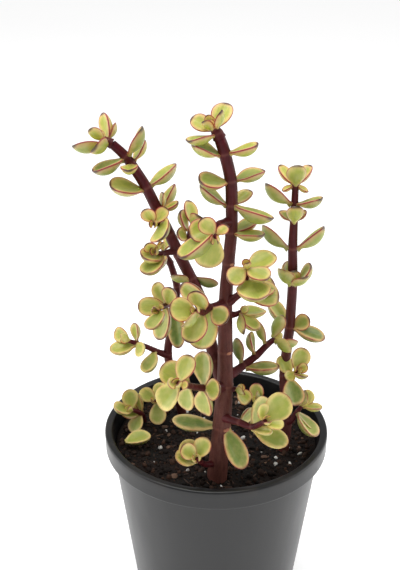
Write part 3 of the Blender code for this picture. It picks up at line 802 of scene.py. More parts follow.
@dataclass(frozen=True)
class StemFinish:
    """Burgundy skin on young wood, and dull maroon bark with pale flecks on old wood."""

    young_dark: Colour = (0.046, 0.0030, 0.0070)
    young_light: Colour = (0.125, 0.0085, 0.0180)
    old_dark: Colour = (0.072, 0.0210, 0.0165)
    old_light: Colour = (0.205, 0.078, 0.054)
    ring: Colour = (0.24, 0.085, 0.065)
    dust: Colour = (0.22, 0.115, 0.085)

    def material(self) -> bpy.types.Material:
        """Make the material.

        Returns:
            It reads the stem's age and ring values, and where a point lies on the plant.
        """
        shader = Shader("stem_skin")
        age, ring, place = shader.value("age"), shader.value("ring"), shader.place()
        lengthwise = shader.noise(shader.scaled(place, (1.0, 1.0, 0.16)), 900.0, 4.0, 0.6)
        cloud = shader.noise(place, 260.0, 3.0)
        grain = shader.noise(place, 2600.0, 3.0)
        young = shader.mix((cloud - 0.25).clamped() * 1.3, self.young_dark, self.young_light)
        old = shader.mix((lengthwise - 0.25) * 1.6, self.old_dark, self.old_light)
        old = shader.mix((grain - 0.55).clamped() * 2.2, old, self.dust)
        colour = shader.mix(age, young, old)
        colour = shader.mix(ring * 0.55 * (cloud * 0.9 + 0.3).clamped(), colour, self.ring)
        rough = age * 0.25 + grain * 0.2 + 0.24
        skin = shader.bump(lengthwise, 0.35 * MM, 0.55)
        skin = shader.bump(grain, 0.10 * MM, 0.5, skin)
        return shader.dress(Base_Color=colour, Roughness=rough, Normal=skin, Specular_IOR_Level=0.18)


@dataclass(frozen=True)
class ScarFinish:
    """Rust-red corky leaf scars on old wood."""

    rust: Colour = (0.34, 0.085, 0.035)
    pale: Colour = (0.50, 0.22, 0.12)
    dark: Colour = (0.10, 0.022, 0.016)

    def material(self) -> bpy.types.Material:
        """Make the material, which varies over the plant and from scar to scar.

        Returns:
            It reads where a point lies on the plant, and each scar's tone.
        """
        shader = Shader("leaf_scar")
        place, tone = shader.place(), shader.value("tone")
        grain = shader.noise(place, 3000.0, 3.0)
        colour = shader.mix(tone, self.rust, self.pale)
        colour = shader.mix((grain - 0.45).clamped() * 2.0, colour, self.dark)
        skin = shader.bump(grain, 0.08 * MM)
        return shader.dress(Base_Color=colour, Roughness=grain * 0.3 + 0.5, Normal=skin)


@dataclass(frozen=True)
class PlasticFinish:
    """Black moulded plastic, a little scuffed, with soil dust near the rim and the foot."""

    black: Colour = (0.0060, 0.0062, 0.0070)
    scuff: Colour = (0.045, 0.045, 0.048)
    dust: Colour = (0.060, 0.045, 0.034)

    def material(self, height: float) -> bpy.types.Material:
        """Make the material.

        Args:
            height: the pot's height in metres, which the dust follows.

        Returns:
            It reads where a point lies on the pot.
        """
        shader = Shader("nursery_plastic")
        place = shader.place()
        flow = shader.noise(shader.scaled(place, (1.0, 1.0, 0.25)), 110.0, 3.0)
        grain = shader.noise(place, 2200.0, 2.0)
        wear = shader.noise(shader.scaled(place, (0.5, 0.5, 3.0)), 700.0, 4.0, 0.65)
        level = shader.node("ShaderNodeSeparateXYZ", {}, {0: place}, "Z")
        rise = level / height
        scuffs = (wear - 0.60).clamped() * 3.0 * (rise.ramp(0.86, 0.98) * 0.7 + 0.3)
        colour = shader.mix(scuffs * 0.6, self.black, self.scuff)
        dusty = (flow - 0.42).clamped() * 2.0 * (rise.ramp(0.12, 0.0) * 0.7 + rise.ramp(0.93, 1.0) * 0.4)
        colour = shader.mix(dusty, colour, self.dust)
        skin = shader.bump(grain, 0.035 * MM, 0.5)
        skin = shader.bump(flow, 0.25 * MM, 0.25, skin)
        return shader.dress(
            Base_Color=colour, Roughness=flow * 0.16 + grain * 0.08 + scuffs * 0.2 + 0.22, Normal=skin,
            Specular_IOR_Level=0.5,
        )


@dataclass(frozen=True)
class SoilFinish:
    """Moist potting soil: near black, with warmer brown crumbs."""

    wet: Colour = (0.0040, 0.0026, 0.0020)
    peat: Colour = (0.021, 0.0100, 0.0065)
    crumb: Colour = (0.100, 0.044, 0.025)

    def material(self) -> bpy.types.Material:
        """Make the material, which reads each crumb's tone.

        Returns:
            It reads where a point lies in the pot, and each crumb's tone.
        """
        shader = Shader("moist_soil")
        place, tone = shader.place(), shader.value("tone")
        patch = shader.noise(place, 90.0, 3.0)
        grain = shader.noise(place, 1500.0, 4.0, 0.65)
        colour = shader.mix((patch - 0.3).clamped() * 1.6, self.wet, self.peat)
        colour = shader.mix((tone - 0.45).clamped() * 1.3, colour, self.crumb)
        colour = shader.mix((0.62 - grain).clamped() * 1.5, colour, self.wet)
        skin = shader.bump(grain, 0.30 * MM, 0.8)
        return shader.dress(
            Base_Color=colour, Roughness=patch * 0.35 + grain * 0.3 + 0.38, Normal=skin,
            Specular_IOR_Level=0.22,
        )


@dataclass(frozen=True)
class PerliteFinish:
    """White foamed glass, greyed by the soil round it."""

    white: Colour = (0.80, 0.79, 0.76)
    shade: Colour = (0.33, 0.29, 0.25)

    def material(self) -> bpy.types.Material:
        """Make the material.

        Returns:
            It reads where a point lies in the pot.
        """
        shader = Shader("perlite")
        place = shader.place()
        pits = shader.noise(place, 2600.0, 3.0, 0.6)
        smear = shader.noise(place, 420.0, 2.0)
        colour = shader.mix((0.58 - pits).clamped() * 2.6, self.white, self.shade)
        colour = shader.mix((smear - 0.5).clamped() * 2.0, colour, self.shade)
        skin = shader.bump(pits, 0.15 * MM)
        return shader.dress(Base_Color=colour, Roughness=pits * 0.2 + 0.65, Normal=skin)


@dataclass(frozen=True)
class ChipFinish:
    """Composted bark chips."""

    dark: Colour = (0.040, 0.019, 0.012)
    light: Colour = (0.20, 0.105, 0.060)

    def material(self) -> bpy.types.Material:
        """Make the material, which reads each chip's tone.

        Returns:
            It reads where a point lies in the pot, and each chip's tone.
        """
        shader = Shader("bark_chip")
        place, tone = shader.place(), shader.value("tone")
        fibre = shader.noise(shader.scaled(place, (1.0, 0.35, 1.0)), 1700.0, 4.0, 0.6)
        colour = shader.mix((fibre * 0.9 + tone * 0.7 - 0.45).clamped(), self.dark, self.light)
        skin = shader.bump(fibre, 0.2 * MM)
        return shader.dress(Base_Color=colour, Roughness=fibre * 0.2 + 0.6, Normal=skin)


# ---- Leaves ----


@dataclass(frozen=True)
class Blade:
    """The shape of a leaf: nearly flat above, full below, on a narrow foot.

    The first sizes are shares of the leaf's length.
    """

    width: float = 0.84
    broadest: float = 0.58  # where it is broadest
    thickness: float = 0.30
    arch: float = 0.10  # how far the tip rises
    cup: float = 0.10  # how far the margins rise, as a share of the width
    top: float = 0.20  # how much of the thickness is on the upper face
    shoulder: float = 0.7  # the lower, the rounder it broadens from the foot
    wave: float = 0.018  # of the margin, as a share of the half-width
    groove: float = 0.9  # how much of the upper swell the middle groove takes
    groove_width: float = 0.45  # a share of the half-width
    keel: float = 1.35  # the higher, the sharper the lower face
    foot_width: float = 0.24  # a share of the broadest
    foot_fullness: float = 0.60  # of the thickness
    depth_chance: tuple[float, float] = (0.9, 1.12)  # times the thickness, from leaf to leaf
    cup_chance: tuple[float, float] = (0.7, 1.5)  # times the cup
    swing_chance: tuple[float, float] = (-0.05, 0.05)  # of the tip to one side
    twist_chance: tuple[float, float] = (-9.0, 9.0)  # in degrees
    stem_seat: float = 0.7  # how far from a stem's middle a leaf starts, a share of its radius
    rows: int = 26
    columns: int = 32

    def outline(self, share: np.ndarray) -> np.ndarray:
        """The half-width along the leaf, as a share of the broadest, with no foot.

        Args:
            share: how far along the leaf, from 0 to 1.

        Returns:
            The half-width there.
        """
        rising = np.sin(np.pi / 2 * np.clip(share / self.broadest, 0.0, 1.0)) ** self.shoulder
        past = np.clip((share - self.broadest) / (1.0 - self.broadest), 0.0, 1.0)
        return np.where(share < self.broadest, rising, np.sqrt(1.0 - past ** 2))

    def grid(self) -> tuple[np.ndarray, np.ndarray]:
        """Where the blade's points lie, closer together towards both ends.

        Returns:
            How far along the leaf each is, from 0 to 1, and its angle round the leaf.
        """
        share = (1 - np.cos(np.pi * np.arange(1, self.rows) / self.rows)) / 2
        angle = 2 * np.pi * np.arange(self.columns) / self.columns
        share, angle = (values.ravel() for values in np.meshgrid(share, angle, indexing="ij"))
        return np.concatenate(([0.0], share, [1.0])), np.concatenate(([0.0], angle, [0.0]))

    def margin_gap(self, share: np.ndarray, sideways: np.ndarray, half: np.ndarray, length: float,
                   width: float) -> np.ndarray:
        """How far points are from the margin, seen from above.

        Args:
            share: how far along the leaf each is.
            sideways: how far it is from the middle line, in millimetres.
            half: the half-width there, as a share of the broadest.
            length: the leaf's, in millimetres.
            width: the leaf's, in millimetres.

        Returns:
            The distances. Past the broadest place the margin is half an ellipse.
        """
        reach = (1.0 - self.broadest) * length
        past = np.clip((share - self.broadest) * length, 0.0, None)
        aside = np.abs(sideways)
        nearness = np.hypot(past / reach, aside * 2 / width)
        heading = np.arctan2(aside + 1e-6, past)
        radius = 1.0 / np.hypot(np.cos(heading) / reach, np.sin(heading) * 2 / width)
        gap = np.where(share < self.broadest, half * width / 2 - aside, (1.0 - nearness) * radius)
        return np.clip(gap, 0.0, None)

    def grown(self, length: float, broad: float, luck: np.random.Generator) -> tuple[np.ndarray, dict]:
        """One leaf along +X with its upper face to +Z.

        Args:
            length: in millimetres.
            broad: its width, as a share of the usual one.
            luck: gives this leaf its own bend, twist and fullness.

        Returns:
            Its points in millimetres, and the numbers that its finish reads.
        """
        width = length * self.width * broad
        depth = length * self.thickness * luck.uniform(*self.depth_chance)
        cup = self.cup * luck.uniform(*self.cup_chance)
        swing = luck.uniform(*self.swing_chance)
        twist = math.radians(luck.uniform(*self.twist_chance))
        share, angle = self.grid()
        outline = self.outline(share)
        foot = self.foot_width / broad * np.clip(1.0 - share, 0.0, 1.0) ** 5
        half = np.sqrt(outline ** 2 + foot ** 2)
        half[0] = half[-1] = 0.0
        wave = 1.0 + self.wave * np.sin(angle * 3 + luck.uniform(0, 6)) * outline
        across, above = np.cos(angle) * wave, np.sin(angle)
        root = self.foot_fullness * np.clip(1.0 - share * 2.2, 0.0, 1.0)
        fullness = np.maximum(outline ** 1.25, root)
        fullness[0] = fullness[-1] = 0.0
        groove = 1.0 - self.groove * np.exp(-(across / self.groove_width) ** 2) * np.clip(share * 3, 0, 1)
        below = -(1.0 - self.top) * np.abs(above) ** self.keel
        rise = np.where(above > 0, self.top * above * groove, below) * depth * fullness
        lift = cup * width * (across * half) ** 2 + self.arch * length * share ** 2
        sideways = across * half * width / 2
        turn = twist * (share - 0.4)
        points = np.stack([
            share * length,
            sideways * np.cos(turn) - rise * np.sin(turn) + swing * length * share ** 2,
            rise * np.cos(turn) + sideways * np.sin(turn) + lift,
        ], axis=1)

        gap = self.margin_gap(share, sideways, half, length, width)
        side = np.where(above > 0, rise * 0.4, -rise * 0.8)
        seed = luck.uniform(0.0, 400.0)
        values = {
            "edge": np.hypot(gap, side), "along": share, "face": above, "lie_x": share * length + seed,
            "lie_y": sideways + seed * 0.37, "lie_z": above * 1.5 + seed,
        }
        return points, values


@dataclass
class Foliage:
    """All the leaves of one stem or whorl, as one mesh."""

    ground: Ground
    material: bpy.types.Material
    blade: Blade = field(default_factory=Blade)
    small_blade: Blade = field(default_factory=lambda: Blade(rows=12, columns=16))
    plant_height: float = 152.0
    usual_reach: float = 11.0
    low_age: float = 0.84  # of a usual leaf at the soil and at its stem's foot; the low leaves' extra age is partly painted shade
    age_and_shade_by_height: float = 0.58  # how much younger the highest is; the darker green of the low leaves is partly painted shade
    age_by_order: float = 0.28  # how much younger the last on its stem is
    age_by_reach: float = 0.030  # how much older a leaf is for each millimetre past the usual
    age_spread: float = 0.24  # by chance from leaf to leaf
    low_blush: float = 0.30
    blush_by_height: float = 0.75
    blush_by_order: float = 0.10
    blush_spread: float = 0.28
    woody_order: float = 0.2  # taken for leaves on a woody stem
    bud_turn: float = 60.0  # of a bud's leaves from the stem's first leaf, in degrees
    bud_opening: float = 22.0
    bud_reach: float = 2.4  # past the bud
    bud_broad: float = 1.1
    bud_age: float = 0.2  # as a share of a usual leaf's
    bud_seed: int = 70  # past the stem's own

    def place(self, stem: Stem, leaf: Leaf) -> tuple[Matrix, float]:
        """Where a leaf sits.

        Args:
            stem: what it grows on.
            leaf: its place there.

        Returns:
            The matrix that places it in the plan, and its length in millimetres.
        """
        node = stem.node(leaf.at)
        turn, opening = math.radians(leaf.turn), math.radians(leaf.opening)
        outward = node.first * math.cos(turn) + node.second * math.sin(turn)
        tip = node.place + (node.axis * math.cos(opening) + outward * math.sin(opening)) * leaf.reach
        foot = node.place + outward * node.radius * self.blade.stem_seat
        along = (tip - foot).normalized()
        side = Quaternion(along, math.radians(leaf.roll)) @ node.axis.cross(along).normalized()
        matrix = Matrix((along, side, along.cross(side))).transposed().to_4x4()
        matrix.translation = foot
        return matrix, (tip - foot).length

    def looks(self, stem: Stem, leaf: Leaf, tip: Vector, luck: np.random.Generator) -> tuple[float, float]:
        """How old and how red a leaf is: the lower and longer ones are older, the high ones redder, and the
        low leaves' darker, older green is partly painted shade.

        Args:
            stem: what it grows on.
            leaf: its place there.
            tip: where its tip is, in the plan.
            luck: moves both a little from leaf to leaf.

        Returns:
            Its age and its blush, each from 0 to 1.
        """
        height = min(max(tip.z / self.plant_height, 0.0), 1.0)
        order = leaf.at / (len(stem.route) - 1) if stem.bud else self.woody_order
        # The lower a leaf, the older and darker it is: partly its age, partly painted shade
        age = self.low_age - self.age_and_shade_by_height * height - self.age_by_order * order
        age += self.age_by_reach * (leaf.reach - self.usual_reach)
        blush = self.low_blush + self.blush_by_height * height - self.blush_by_order * order
        age += luck.uniform(-self.age_spread, self.age_spread)
        blush += luck.uniform(-self.blush_spread, self.blush_spread)
        return float(np.clip(age, 0.0, 1.0)), float(np.clip(blush, 0.0, 1.0))

    def grow(self, draft: Draft, stem: Stem, leaf: Leaf, seed: int, small: bool = False) -> None:
        """Add one leaf to a draft.

        Args:
            draft: where it goes.
            stem: what it grows on.
            leaf: its place there.
            seed: sets its chance features.
            small: True for the tiny leaves of a bud.
        """
        luck = np.random.default_rng(seed)
        matrix, length = self.place(stem, leaf)
        blade = self.small_blade if small else self.blade
        points, values = blade.grown(length, leaf.broad, luck)
        matrix_rows = np.array(matrix)
        placed = points @ matrix_rows[:3, :3].T + matrix_rows[:3, 3]
        age, blush = self.looks(stem, leaf, Vector(placed[-1]), luck)
        if small:
            age *= self.bud_age
        faces = closed_rows(blade.rows - 1, blade.columns)
        draft.add(self.ground.place(placed), faces, age=age, blush=blush, **values)

    def build(self, name: str, stem: Stem, grown: tuple[Leaf, ...], seed: int) -> None:
        """The leaves of a stem or a whorl, with a pair of tiny ones round a bud.

        Args:
            name: the CAD node that they stand for.
            stem: what they grow on.
            grown: the leaves.
            seed: sets their chance features.
        """
        draft = Draft()
        for number, leaf in enumerate(grown):
            self.grow(draft, stem, leaf, seed + number)
        if stem.bud and stem.name == name:
            end = len(stem.route) - 1
            across = grown[0].turn + self.bud_turn
            reach = stem.radius(end) * TIP_LENGTH + self.bud_reach
            for number, turn in enumerate((across, across + 180.0)):
                leaflet = Leaf(end, turn, self.bud_opening, reach, broad=self.bud_broad)
                self.grow(draft, stem, leaflet, seed + self.bud_seed + number, small=True)
        blades = f"{name}_blades"
        install(blades, draft.mesh(blades, self.material), Slot.LEAF, name)


@dataclass
class FallenLeaf:
    """A dropped leaf that lies on the soil."""

    ground: Ground
    material: bpy.types.Material
    place: tuple[float, float, float] = (-41.5, -8.0, 0.3)
    length: float = 12.0
    heading: float = 20.0
    age: float = 0.55
    blush: float = 0.1
    seed: int = 77

    def build(self) -> None:
        """Lay the leaf on its face."""
        blade = Blade()
        points, values = blade.grown(self.length, 1.0, np.random.default_rng(self.seed))
        turn = np.array(Matrix.Rotation(math.radians(self.heading), 3, "Z"))
        points = points @ turn.T
        x, y, z = self.place
        points += np.array((x, y, z - points[:, 2].min()))
        draft = Draft()
        faces = closed_rows(blade.rows - 1, blade.columns)
        draft.add(self.ground.place(points), faces, age=self.age, blush=self.blush, **values)
        mesh = draft.mesh("fallen_leaf_blade", self.material)
        install("fallen_leaf_blade", mesh, Slot.LEAF, "fallen_leaf")


# ---- Stems ----


@dataclass
class Wood:
    """Stems and twigs, made by nodes from a line of points with the stem's thickness on each."""

    ground: Ground
    material: bpy.types.Material
    scar_material: bpy.types.Material
    step: float = 0.45  # between two points of the line
    ring_swell: float = 0.055  # how much a node swells, as a share of the radius
    ring_width: float = 0.55
    collar: float = 0.28  # how much a twig widens where it leaves its stem
    collar_length: float = 1.6
    ripple: float = 0.16  # depth of the long ripples
    fine_ripple: float = 0.07
    ripple_scale: float = 420.0
    fine_scale: float = 1500.0
    scar_size: tuple[float, float, float] = (0.42, 1.25, 0.75)  # deep, wide and high
    scar_girth: float = 3.4  # the stem's radius that this size is for
    sides: int = 36
    twig_sides: int = 20

    def line(self, stem: Stem, nodes: Sequence[float], age: tuple[float, float], parent: float) -> Draft:
        """The stem's middle line with its thickness, age and rings.

        Args:
            stem: the stem.
            nodes: where leaves or branches grow on it, as indices of its route.
            age: its age at its start and at its end, from 0 for a new shoot to 1 for old wood.
            parent: the radius of what it grows from, or 0.

        Returns:
            A draft that holds the line's points and no faces.
        """
        end = len(stem.route) - 1
        spots: list[float] = []
        for span in range(end):
            length = (Vector(stem.route[span + 1]) - Vector(stem.route[span])).length
            count = max(2, round(length / self.step))
            spots += [span + i / count for i in range(count)]
        spots.append(float(end))
        middles = [stem.middle(at) for at in spots]
        radii = [stem.radius(at) for at in spots]
        ages = list(np.interp(spots, (0, end), age))
        if stem.bud:
            ahead = (middles[-1] - middles[-2]).normalized()
            start, base = middles[-1], radii[-1]
            reach = base * TIP_LENGTH
            for share in BUD_RINGS:
                dome = math.sqrt(max(1.0 - share ** 2, BUD_POINT ** 2))
                middles.append(start + ahead * reach * share)
                radii.append(base * TIP_TAPER * dome + base * (1 - TIP_TAPER) * (1 - share))
                ages.append(ages[-1])
        points = np.array([tuple(point) for point in middles])
        radii = np.array(radii)
        run = np.concatenate(([0.0], np.cumsum(np.linalg.norm(np.diff(points, axis=0), axis=1))))
        ring = np.zeros(len(run))
        for at in nodes:
            centre = float(np.interp(at, spots, run[: len(spots)]))
            ring = np.maximum(ring, np.exp(-((run - centre) / self.ring_width) ** 2))
        radii *= 1.0 + self.ring_swell * ring
        if parent:
            past = np.clip(run - parent, 0, None)
            radii *= 1.0 + self.collar * np.exp(-past / self.collar_length)
        draft = Draft()
        draft.add(self.ground.place(points), [], girth=radii * self.ground.scale, ring=ring,
                  age=np.array(ages))
        return draft

    def skin(self, name: str, line: Draft, sides: int, seed: float) -> bpy.types.Mesh:
        """Turn a line into a stem's skin with nodes.

        Args:
            name: the mesh's name.
            line: the line's points with their values.
            sides: how many points go round the stem.
            seed: moves the ripples about.

        Returns:
            The closed skin.
        """
        source_mesh = line.mesh(name + "_line")
        source_mesh.edges.add(line.count - 1)
        ends = np.stack([np.arange(line.count - 1), np.arange(1, line.count)], axis=1)
        source_mesh.edges.foreach_set("vertices", ends.ravel())
        source = link_object(name + "_line", source_mesh)
        tree = Modelling(
            name + "_skin", Sides=("Int", sides), Ripple=("Float", self.ripple * MM),
            Fine=("Float", self.fine_ripple * MM), Seed=("Float", seed), Finish=("Material", self.material),
        )
        curve = tree.node("GeometryNodeMeshToCurve", {}, {"Mesh": tree.given("Geometry")})
        circle = {"Resolution": tree.given("Sides"), "Radius": 1.0}
        ring = tree.node("GeometryNodeCurvePrimitiveCircle", {}, circle)
        tube = tree.node("GeometryNodeCurveToMesh", {}, {
            "Curve": curve, "Profile Curve": ring, "Scale": tree.attribute("girth"), "Fill Caps": True,
        })
        shift = tree.vector(tree.given("Seed"), 0.0, tree.given("Seed"))
        spot = tree.node("ShaderNodeVectorMath", {"operation": "ADD"}, {0: tree.position(), 1: shift})
        long_grain = tree.scaled(spot, (1.0, 1.0, 0.3))
        age = tree.attribute("age")
        ripple = (tree.noise(long_grain, self.ripple_scale) - 0.5) * tree.given("Ripple") * (age + 0.35)
        fine = (tree.noise(spot, self.fine_scale) - 0.5) * tree.given("Fine") * (age + 0.1)
        return tree.run(tree.swollen(tube, ripple + fine), source)

    def build(self, stem: Stem, nodes: Sequence[float], age: tuple[float, float], seed: float,
              parent: float) -> None:
        """A stem's or a twig's piece.

        Args:
            stem: the stem, whose name is its CAD node's.
            nodes: where leaves or branches grow on it.
            age: its age at its start and its end.
            seed: moves its ripples about.
            parent: the radius of what it grows from, or 0.
        """
        woody = not stem.bud
        name = f"{stem.name}_bark" if woody else f"{stem.name}_twig"
        line = self.line(stem, nodes, age, parent)
        mesh = self.skin(name, line, self.sides if woody else self.twig_sides, seed)
        install(name, mesh, Slot.BARK, stem.name)

    def scars(self, stem: Stem, nodes: Sequence[float]) -> None:
        """The corky scars of dropped leaves, in pairs that turn a quarter from node to node.

        Args:
            stem: what they are on.
            nodes: where on it, as indices of its route.
        """
        draft = Draft()
        for number, at in enumerate(nodes):
            node = stem.node(at)
            for half in (0.0, math.pi):
                turn = half + number * math.pi / 2 - math.pi / 3
                outward = node.first * math.cos(turn) + node.second * math.sin(turn)
                centre = np.array([tuple(node.place + outward * node.radius)])
                draft.add(self.ground.place(centre), [], size=node.radius / self.scar_girth,
                          heading=math.atan2(outward.y, outward.x))
        source = link_object("scar_places", draft.mesh("scar_places"))
        depth, width, height = self.scar_size
        tree = Modelling(
            "scars", Depth=("Float", depth * MM), Width=("Float", width * MM),
            Height=("Float", height * MM), Seed=("Int", 5), Finish=("Material", self.scar_material),
        )
        ball = tree.node("GeometryNodeMeshIcoSphere", {}, {"Radius": 1.0, "Subdivisions": 4})
        lumps = tree.noise(tree.position(), 2.2, 3.0) - 0.5
        ball = tree.swollen(ball, lumps * 0.7)
        usual = tree.vector(tree.given("Depth"), tree.given("Width"), tree.given("Height"))
        size = tree.times(usual, tree.attribute("size"))
        turn = tree.vector(0.0, 0.0, tree.attribute("heading"))
        placed = tree.copies(tree.given("Geometry"), ball, turn, size, tree.given("Seed"))
        install("leaf_scars", tree.run(placed, source), Slot.BARK)


# ---- Pot and soil ----


@dataclass
class Pot:
    """The round nursery pot: a thin tapered wall with a rolled lip and drain holes."""

    material: bpy.types.Material
    radius: float
    height: float
    base_radius: float = 37.5
    wall: float = 1.3
    floor: float = 1.6
    lip_height: float = 9.0
    lip_stand: float = 2.2
    lip_draft: float = 0.18  # how much the lip draws in from its top to its foot
    lip_round: float = 0.6
    rim_round_in: float = 0.9
    rim_round_out: float = 1.1
    floor_round: float = 1.0
    foot_round: float = 1.5
    drain_radius: float = 3.5
    drain_inset: float = 8.0
    drain_count: int = 6
    steps: int = 160

    def wall_radius(self, height: float) -> float:
        """The outer radius at a height, under the lip."""
        top = self.radius - self.lip_stand
        return self.base_radius + (top - self.base_radius) * height / self.height

    def arc(self, centre: tuple[float, float], radius: float, start: float, end: float,
            count: int = 6) -> list[tuple[float, float]]:
        """Points on a round, from one angle to another in degrees."""
        turns = np.radians(np.linspace(start, end, count))
        return [(centre[0] + radius * math.cos(t), centre[1] + radius * math.sin(t)) for t in turns]

    def profile(self) -> list[tuple[float, float]]:
        """The wall's outline from the middle of its inside to the middle of its base.

        Returns:
            The radius and the height of each point.
        """
        lip_base = self.height - self.lip_height
        inner_top = self.wall_radius(self.height) - self.wall
        round_in, round_out, round_floor = self.rim_round_in, self.rim_round_out, self.floor_round
        points = [(0.0, self.floor)]
        floor_edge = self.wall_radius(self.floor) - self.wall
        points += [(floor_edge * share, self.floor) for share in (0.35, 0.7, 0.93)]
        points += self.arc((floor_edge - round_floor, self.floor + round_floor), round_floor, -90, -5)
        for share in np.linspace(0.06, 0.98, 14):
            level = share * (self.height - round_in)
            points.append((self.wall_radius(level) - self.wall, level))
        points += self.arc((inner_top + round_in, self.height - round_in), round_in, 180, 90)
        points += self.arc((self.radius - round_out, self.height - round_out), round_out, 90, 0)
        points += [(self.radius - self.lip_draft * share,
                    self.height - round_out - share * (self.lip_height - 2.4))
                   for share in (0.3, 0.6, 1.0)]
        lip_foot = (self.radius - self.lip_draft - self.lip_round, lip_base + 0.7)
        points += self.arc(lip_foot, self.lip_round, 0, -90, 5)
        under = self.wall_radius(lip_base - 0.5)
        points += self.arc((under + self.lip_round, lip_base - 0.5), self.lip_round, 90, 180, 5)
        for share in np.linspace(0.96, 0.06, 12):
            level = share * (lip_base - 1.2)
            points.append((self.wall_radius(level), level))
        foot = (self.base_radius - self.foot_round + 0.1, self.foot_round)
        points += self.arc(foot, self.foot_round, 0, -90)
        points += [(self.base_radius * share, 0.0) for share in (0.9, 0.6, 0.3)]
        return points + [(0.0, 0.0)]

    def build(self) -> None:
        """Turn the profile and drill the drain holes."""
        profile = [(radius * MM, height * MM) for radius, height in self.profile()]
        inner = profile[1:-1]
        rings = [ring_points(radius, level, self.steps) for radius, level in inner]
        points = np.concatenate([[(0.0, 0.0, profile[0][1])], *rings, [(0.0, 0.0, profile[-1][1])]])
        draft = Draft()
        faces = [tuple(reversed(face)) for face in closed_rows(len(inner), self.steps)]
        draft.add(points, faces)
        pot = link_object("pot_form", draft.mesh("nursery_pot", self.material))
        drill = self.drill()
        cut = pot.modifiers.new("Drain", "BOOLEAN")
        cut.operation = "DIFFERENCE"
        cut.solver = "EXACT"
        cut.object = drill
        graph = bpy.context.evaluated_depsgraph_get()
        mesh = bpy.data.meshes.new_from_object(pot.evaluated_get(graph))
        bpy.data.objects.remove(pot)
        bpy.data.objects.remove(drill)
        mesh.set_sharp_from_angle(angle=math.radians(50))
        install("nursery_pot", mesh, Slot.PLASTIC, "pot")

    def drill(self) -> bpy.types.Object:
        """The rods that cut the drain holes.

        Returns:
            All of them as one object.
        """
        shape = bmesh.new()
        ring = (self.base_radius - self.drain_inset) * MM
        for index in range(self.drain_count):
            turn = Matrix.Rotation(math.tau * (index + 0.5) / self.drain_count, 4, "Z")
            bmesh.ops.create_cone(
                shape, cap_ends=True, segments=40, radius1=self.drain_radius * MM,
                radius2=self.drain_radius * MM, depth=4 * self.floor * MM,
                matrix=turn @ Matrix.Translation((ring, 0.0, self.floor / 2 * MM)),
            )
        mesh = bpy.data.meshes.new("drill")
        shape.to_mesh(mesh)
        shape.free()
        return link_object("drill", mesh)


class GrainForm(Enum):
    """The kinds of grain in the soil, by the proportions of the ball that they start from."""

    CRUMB = (1.0, 0.85, 0.7)
    FLAKE = (1.0, 0.62, 0.30)
    FIBRE = (1.0, 0.14, 0.11)


@dataclass(frozen=True)
class Grains:
    """One sort of grain: how big, how many and how rough."""

    name: str
    form: GrainForm
    smallest: float
    largest: float
    density: float  # grains in a square centimetre
    seed: int
    segments: int = 7
    rings: int = 5
    roughness: float = 0.55
    edge_gap: float = 2.6  # kept free inside the wall, in millimetres


